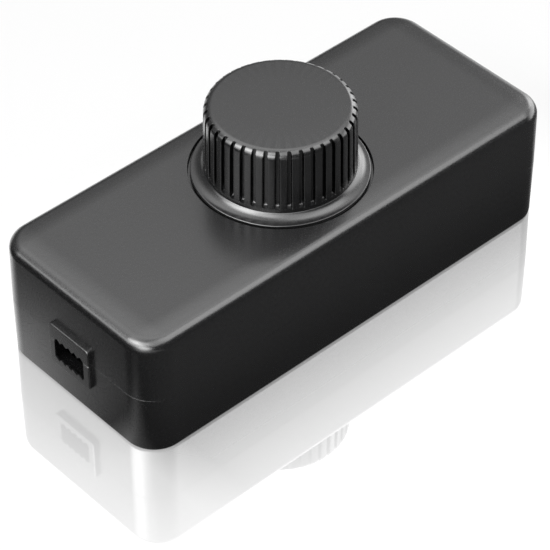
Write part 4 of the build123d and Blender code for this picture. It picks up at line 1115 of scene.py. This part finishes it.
class DIMMER_OT_control_fasteners(bpy.types.Operator):
    """Build the threaded bushing of the rotary control, its nut and its washer"""

    bl_idname = "dimmer.control_fasteners"
    bl_label = "Nut, washer and bushing"

    def execute(self, context):
        sizes = context.scene.dimmer_fasteners
        self.nut(sizes)
        self.washer(sizes)
        self.bushing(sizes)
        return {"FINISHED"}

    def nut(self, sizes):
        low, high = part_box("hex_nut")
        corner, side = high[0], high[1]
        bm = bmesh.new()
        bmesh.ops.create_cone(bm, cap_ends=True, cap_tris=False, segments=6, radius1=corner, radius2=corner,
                              depth=high[2] - low[2])
        bmesh.ops.transform(bm, verts=bm.verts, matrix=Matrix.Translation((0, 0, (low[2] + high[2]) / 2)) @
                            Matrix.Rotation(pi / 2, 4, "Z"))
        fall = (corner - side) * 0.55
        disc = turned([(0, low[2]), (side - 0.05 * MM, low[2]), (corner, low[2] + fall),
                       (corner, high[2] - fall), (side - 0.05 * MM, high[2]), (0, high[2])], 96)
        bm = combine(bm, [disc], "INTERSECT")
        bore = sizes.bushing_radius + 0.05 * MM
        mouth = bore + BORE_CHAMFER
        well = turned([(0, low[2] - MM), (mouth, low[2] - MM), (mouth, low[2]), (bore, low[2] + BORE_CHAMFER),
                       (bore, high[2] - BORE_CHAMFER), (mouth, high[2]), (mouth, high[2] + MM),
                       (0, high[2] + MM)], 64)
        ridge = helix_ridge(bore, 0.28 * MM, sizes.fine_pitch, 3.4, 0.6 * MM, 32)
        bm = combine(bm, [well, place(ridge, Matrix.Translation((0, 0, low[2] - 0.3 * MM)))], "DIFFERENCE")
        piece = finished_piece("Hex_nut", bm, nickel(), "case")
        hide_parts("hex_nut")

    def washer(self, sizes):
        low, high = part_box("flat_washer")
        bore, edge = sizes.washer_bore, 0.1 * MM
        inner = [(bore + edge, low[2]), (bore, low[2] + edge), (bore, high[2] - edge), (bore + edge, high[2])]
        outer = [(high[0] - edge, high[2]), (high[0], high[2] - edge), (high[0], low[2] + edge),
                 (high[0] - edge, low[2])]
        bm = turned([*inner, *outer, inner[0]], 96)
        piece = finished_piece("Flat_washer", bm, nickel(), "case")
        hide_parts("flat_washer")

    def bushing(self, sizes):
        low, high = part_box("pot_bushing")
        plate = low[2] + FLANGE_THICKNESS
        crest, root = sizes.bushing_radius, sizes.bushing_radius - FINE_THREAD_DEPTH
        edge = FLANGE_EDGE
        body = turned([(0, low[2]), (high[0], low[2]), (high[0], plate - edge), (high[0] - edge, plate),
                       (root, plate), (root, high[2] - 0.25 * MM), (root - edge, high[2]), (0, high[2])], 96)
        turns = (high[2] - plate - 1.0 * MM) / sizes.fine_pitch
        ridge = helix_ridge(root, crest - root, sizes.fine_pitch, turns, 0.55 * MM, 32)
        tab = solid_block((6.1 * MM, -1.2 * MM, low[2] + 0.5 * MM), (7.1 * MM, 1.2 * MM, plate + MM))
        body = combine(body, [place(ridge, Matrix.Translation((0, 0, plate + 0.4 * MM))), tab], "UNION")
        cuts = [cylinder(sizes.bushing_bore, low[2] - MM, high[2] + MM, steps=64)]
        for quarter in range(4):
            notch = solid_block((high[0] - 0.6 * MM, -1.2 * MM, low[2] - MM),
                                (high[0] + MM, 1.2 * MM, plate + MM))
            cuts.append(place(notch, Matrix.Rotation(radians(45 + 90 * quarter), 4, "Z")))
        body = combine(body, cuts, "DIFFERENCE")
        piece = finished_piece("Threaded_bushing", body, zinc(), "case")
        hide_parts("pot_bushing")


# Inner parts

class DIMMER_OT_choke_winding(bpy.types.Operator):
    """Wind the choke's wire round its core, with both ends down through the board"""

    bl_idname = "dimmer.choke_winding"
    bl_label = "Choke winding"

    def execute(self, context):
        sizes = context.scene.dimmer_fasteners
        low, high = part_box("choke_winding")
        wire = sizes.wire_radius
        centre_x, reach = (low[0] + high[0]) / 2, (high[0] - low[0]) / 2 - wire
        axis_z = high[2] - reach - wire
        run = high[1] - low[1] - 2 * wire
        pitch = run / sizes.wire_turns
        bm = bmesh.new()
        ring = bmesh.ops.create_circle(bm, cap_ends=False, radius=wire, segments=8)["verts"]
        bmesh.ops.rotate(bm, verts=ring, matrix=Matrix.Rotation(pi / 2, 3, "X"))
        bmesh.ops.translate(bm, verts=ring, vec=(reach, 0, 0))
        steps = 28
        bmesh.ops.spin(
            bm, geom=bm.verts[:] + bm.edges[:], cent=(0, 0, 0), axis=(0, 0, 1), dvec=(0, 0, pitch / steps),
            angle=2 * pi * sizes.wire_turns, steps=steps * sizes.wire_turns, use_merge=False,
            use_normal_flip=False, use_duplicate=False,
        )
        bmesh.ops.holes_fill(bm, edges=[edge for edge in bm.edges if edge.is_boundary], sides=8)
        bmesh.ops.recalc_face_normals(bm, faces=bm.faces)
        place(bm, Matrix.Translation((centre_x, low[1] + wire, axis_z)) @ Matrix.Rotation(-pi / 2, 4, "X"))
        ends = (low[1] + wire, high[1] - wire)
        leads = [cylinder(0.25 * MM, low[2], axis_z - reach, centre_x, y, 12) for y in ends]
        piece = finished_piece("Choke_winding", gather([bm, *leads]), copper(), "case")
        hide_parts("choke_winding")
        return {"FINISHED"}


class DIMMER_OT_inner_finishes(bpy.types.Operator):
    """Give every part that keeps its solid shape its own finish"""

    bl_idname = "dimmer.inner_finishes"
    bl_label = "Inner finishes"

    def execute(self, context):
        for names, finish in (
            (("pot_cover",), can_steel), (("pot_shaft",), shaft_alloy), (("shaft_clip",), spring_steel),
            (("pot_rotor",), rotor_moulding), (("pot_wiper",), bronze),
            (("pot_track_plate",), track_laminate),
            (("pot_terminals", "terminal_cages"), tin), (("circuit_board",), board_laminate),
            (("board_screws", "heat_sink_screw", "terminal_screws"), zinc), (("triac",), triac_moulding),
            (("heat_sink",), aluminium), (("film_capacitor",), film_box), (("choke_core",), ferrite),
            (("diac",), diac_glass), (("resistors",), resistor_coat), (("fuse",), fuse_moulding),
            (("timing_capacitor",), timing_box),
            (("input_terminal_block", "output_terminal_block"), block_plastic),
        ):
            for name in names:
                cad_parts[name].material_slots[0].material = finish()
        return {"FINISHED"}


# Stage
#
# A range is (from low, from high, value at low, value at high). The floor's ranges are places in metres and
# the sky's are parts of a direction. The camera sees a white floor with a mirror image and a white sky, and
# the gloss of the case and knob sees the patches of light below.

FLOOR_MIRROR = (0.0, 24 * MM, 0.68, 0.04)
FLOOR_MIRROR_X = (-44 * MM, -36 * MM, 0.55, 1.0)
FLOOR_ROUGHNESS = 0.02
DIM_FLOOR = 0.03
LEFT_GLOW_X, LEFT_GLOW_Y = (-63 * MM, -43 * MM, 0.0, 1.0), (-10 * MM, 17 * MM, 0.05, 1.5)
CORNER_Y = -12.5 * MM
CORNER_GLOW_X, CORNER_GLOW_Y = (-70 * MM, -43 * MM, 0.0, 1.0), (0.0, 5 * MM, 0.8, 0.0)
FRONT_GLOW_Y = (-20 * MM, -30 * MM, 0.0, 0.1)
FAR_GLOW_X, FAR_GLOW_Y = (-90 * MM, -130 * MM, 0.0, 2.0), (-5 * MM, -40 * MM, 0.0, 1.0)
SOFT_SKY, WHITE_SKY = 0.25, 1.0
SKY_TONES = ((0.0, 0.05), (0.3, 0.06), (0.5, 0.1), (0.6, 0.26), (0.69, 0.40), (0.76, 0.80), (0.83, 1.0))
SKY_BACK_Y = (-0.1, 0.3, 0.15, 5.4)
LEFT_STRIP_X = (-0.72, -0.58, 9.0, 0.0)
LEFT_STRIP_FOOT, LEFT_STRIP_TOP = (0.2, 0.3, 0.0, 1.0), (0.42, 0.5, 1.0, 0.0)
RIGHT_GLOW_X = (0.7, 0.82, 0.0, 7.0)
RIGHT_GLOW_Y, RIGHT_GLOW_Z = (0.3, 0.5, 1.0, 0.3), (0.45, 0.62, 1.0, 0.0)
PANELS = (
    # direction, angle of the even middle, angle where it ends, radiance
    ((-0.70, 0.18, 0.69), 11, 22, 14.0),
    ((-0.84, -0.42, 0.32), 12, 24, 12.0),
    ((-0.62, -0.12, 0.77), 12, 24, 9.0),
    ((0.46, -0.22, 0.86), 12, 30, 2.8),
)
SOFTBOXES = (
    # name, place, size, radiance
    ("Overhead softbox", (0.04, -0.40, 0.91), (1.5, 0.72), 4.5),
    ("Left softbox", (-0.64, 0.06, 0.56), (0.8, 0.2), 6.0),
    ("Right softbox", (0.82, 0.25, 0.45), (0.4, 0.22), 4.0),
)
LAMP_TARGET = Vector((0, 0, 0.01))
CAMERA_TARGET = Vector((-0.636, 0.577, -0.670)) * MM
WHITE = (1, 1, 1, 1)


class DIMMER_OT_stage(bpy.types.Operator):
    """Build the floor, the lights, the world and the camera"""

    bl_idname = "dimmer.stage"
    bl_label = "Stage"

    def execute(self, context):
        scene = context.scene
        stage = scene.dimmer_stage
        self.floor(scene, stage)
        self.world(scene)
        self.lights(scene)
        self.camera(scene, stage)
        scene.view_settings.view_transform = "Standard"
        return {"FINISHED"}

    def floor(self, scene, stage):
        bm = bmesh.new()
        bmesh.ops.create_grid(bm, x_segments=2, y_segments=2, size=stage.floor_radius)
        mesh = bpy.data.meshes.new("Floor")
        bm.to_mesh(mesh)
        bm.free()
        mesh.materials.append(self.floor_finish(stage))
        floor = bpy.data.objects.new("Floor", mesh)
        scene.collection.objects.link(floor)

    def floor_finish(self, stage):
        """White matt floor that mirrors a little, with its own light for what the gloss sees."""
        material = bpy.data.materials.new("Floor")
        material.use_nodes = True
        tree = material.node_tree
        tree.nodes.remove(tree.nodes["Principled BSDF"])
        _, (x, y, _) = coordinates(tree)
        matt = tree.nodes.new("ShaderNodeBsdfDiffuse")
        matt.inputs["Color"].default_value = (stage.floor_tone, stage.floor_tone, stage.floor_tone, 1)
        glow = tree.nodes.new("ShaderNodeEmission")
        glow.inputs["Strength"].default_value = stage.floor_glow
        paper = tree.nodes.new("ShaderNodeAddShader")
        tree.links.new(matt.outputs["BSDF"], paper.inputs[0])
        tree.links.new(glow.outputs["Emission"], paper.inputs[1])
        mirror = tree.nodes.new("ShaderNodeBsdfGlossy")
        mirror.inputs["Roughness"].default_value = FLOOR_ROUGHNESS
        seen = blend(tree, self.nearness(tree, x, y), paper.outputs["Shader"], mirror.outputs["BSDF"])

        left = product(tree, arithmetic(tree, "POWER", value_range(tree, x, *LEFT_GLOW_X), 2.0),
                       value_range(tree, y, *LEFT_GLOW_Y))
        beside = arithmetic(tree, "ABSOLUTE", arithmetic(tree, "SUBTRACT", y, CORNER_Y))
        corner = product(tree, value_range(tree, beside, *CORNER_GLOW_Y),
                         value_range(tree, x, *CORNER_GLOW_X))
        front = value_range(tree, y, *FRONT_GLOW_Y)
        far = product(tree, value_range(tree, x, *FAR_GLOW_X), value_range(tree, y, *FAR_GLOW_Y))
        around = tree.nodes.new("ShaderNodeEmission")
        tree.links.new(total(tree, left, corner, front, far, DIM_FLOOR), around.inputs["Strength"])
        path = tree.nodes.new("ShaderNodeLightPath")
        either = blend(tree, path.outputs["Is Camera Ray"], around.outputs["Emission"], seen)
        tree.links.new(either, tree.nodes["Material Output"].inputs["Surface"])
        return material

    def nearness(self, tree, x, y):
        """Share of mirror in the floor, which fades with the distance from the case."""
        beyond = []
        for part, edge in zip((x, y), CAD_BOX[1]):
            outside = arithmetic(tree, "SUBTRACT", arithmetic(tree, "ABSOLUTE", part), edge)
            beyond.append(arithmetic(tree, "MAXIMUM", outside, 0.0))
        return product(tree, value_range(tree, distance(tree, *beyond), *FLOOR_MIRROR),
                       value_range(tree, x, *FLOOR_MIRROR_X))

    def world(self, scene):
        world = bpy.data.worlds.new("Studio")
        world.use_nodes = True
        scene.world = world
        tree = world.node_tree
        soft = tree.nodes["Background"]
        white, mirrored = [tree.nodes.new("ShaderNodeBackground") for _ in range(2)]
        for background, strength in ((soft, SOFT_SKY), (white, WHITE_SKY)):
            background.inputs["Color"].default_value = WHITE
            background.inputs["Strength"].default_value = strength
        where, (x, y, z) = coordinates(tree, "Generated")
        height = colour_ramp(tree, z, [(position, (tone, tone, tone, 1)) for position, tone in SKY_TONES])
        overhead = product(tree, height.outputs["Color"], value_range(tree, y, *SKY_BACK_Y))
        left = product(tree, value_range(tree, z, *LEFT_STRIP_FOOT), value_range(tree, z, *LEFT_STRIP_TOP),
                       value_range(tree, x, *LEFT_STRIP_X))
        right = product(tree, value_range(tree, z, *RIGHT_GLOW_Z), value_range(tree, x, *RIGHT_GLOW_X),
                        value_range(tree, y, *RIGHT_GLOW_Y))
        panels = [self.panel(tree, where, *panel) for panel in PANELS]
        tree.links.new(total(tree, overhead, left, right, *panels), mirrored.inputs["Strength"])
        path = tree.nodes.new("ShaderNodeLightPath")
        glossy = blend(tree, path.outputs["Is Glossy Ray"], soft.outputs["Background"],
                       mirrored.outputs["Background"])
        direct = arithmetic(tree, "MAXIMUM", path.outputs["Is Camera Ray"],
                            path.outputs["Is Transmission Ray"])
        shown = blend(tree, direct, glossy, white.outputs["Background"])
        tree.links.new(shown, tree.nodes["World Output"].inputs["Surface"])

    def panel(self, tree, direction, centre, inner, outer, radiance):
        """Round bright panel of the studio, as far away as the sky."""
        facing = tree.nodes.new("ShaderNodeVectorMath")
        facing.operation = "DOT_PRODUCT"
        tree.links.new(direction, facing.inputs[0])
        facing.inputs[1].default_value = Vector(centre).normalized()
        edge, even = cos(radians(outer)), cos(radians(inner))
        return value_range(tree, facing.outputs["Value"], edge, even, 0.0, radiance)

    def lights(self, scene):
        for name, place_at, size, radiance in SOFTBOXES:
            light = bpy.data.lights.new(name, "AREA")
            light.shape = "RECTANGLE"
            light.size, light.size_y = size
            light.energy = radiance * pi * size[0] * size[1]
            lamp = bpy.data.objects.new(name, light)
            turn = (LAMP_TARGET - Vector(place_at)).to_track_quat("-Z", "Y").to_matrix().to_4x4()
            lamp.matrix_world = Matrix.Translation(place_at) @ turn
            scene.collection.objects.link(lamp)

    def camera(self, scene, stage):
        data = bpy.data.cameras.new("Camera")
        data.sensor_width = 36
        data.lens = stage.lens
        data.clip_start = 0.01
        camera = bpy.data.objects.new("Camera", data)
        flat = cos(stage.elevation)
        back = Vector((sin(stage.azimuth) * flat, -cos(stage.azimuth) * flat, sin(stage.elevation)))
        turn = (-back).to_track_quat("-Z", "Y").to_matrix().to_4x4()
        camera.matrix_world = Matrix.Translation(CAMERA_TARGET + back * stage.distance) @ turn
        scene.collection.objects.link(camera)
        scene.camera = camera


class DIMMER_PT_sidebar(bpy.types.Panel):
    """Lists the pieces of the dimmer"""

    bl_label = "Rotary cord dimmer"
    bl_idname = "DIMMER_PT_sidebar"
    bl_space_type = "VIEW_3D"
    bl_region_type = "UI"
    bl_category = "Dimmer"

    def draw(self, context):
        for operator in OPERATORS:
            self.layout.operator(operator.bl_idname)


OPERATORS = (
    DIMMER_OT_upper_shell, DIMMER_OT_lower_shell, DIMMER_OT_knob, DIMMER_OT_case_screws,
    DIMMER_OT_control_fasteners, DIMMER_OT_choke_winding, DIMMER_OT_inner_finishes, DIMMER_OT_stage,
)
SETTINGS = {
    "dimmer_case": DimmerCaseSizes,
    "dimmer_knob": DimmerKnobSizes,
    "dimmer_fasteners": DimmerFastenerSizes,
    "dimmer_finishes": DimmerFinishes,
    "dimmer_stage": DimmerStage,
}


def register():
    for group in SETTINGS.values():
        bpy.utils.register_class(group)
    for operator in OPERATORS:
        bpy.utils.register_class(operator)
    bpy.utils.register_class(DIMMER_PT_sidebar)
    for name, group in SETTINGS.items():
        setattr(bpy.types.Scene, name, PointerProperty(type=group))


def unregister():
    for name in SETTINGS:
        delattr(bpy.types.Scene, name)
    bpy.utils.unregister_class(DIMMER_PT_sidebar)
    for operator in reversed(OPERATORS):
        bpy.utils.unregister_class(operator)
    for group in reversed(SETTINGS.values()):
        bpy.utils.unregister_class(group)


def main():
    """Builds every piece and the stage."""
    register()
    bpy.ops.dimmer.upper_shell()
    bpy.ops.dimmer.lower_shell()
    bpy.ops.dimmer.knob()
    bpy.ops.dimmer.case_screws()
    bpy.ops.dimmer.control_fasteners()
    bpy.ops.dimmer.choke_winding()
    bpy.ops.dimmer.inner_finishes()
    bpy.ops.dimmer.stage()


if __name__ == "__main__":
    main()
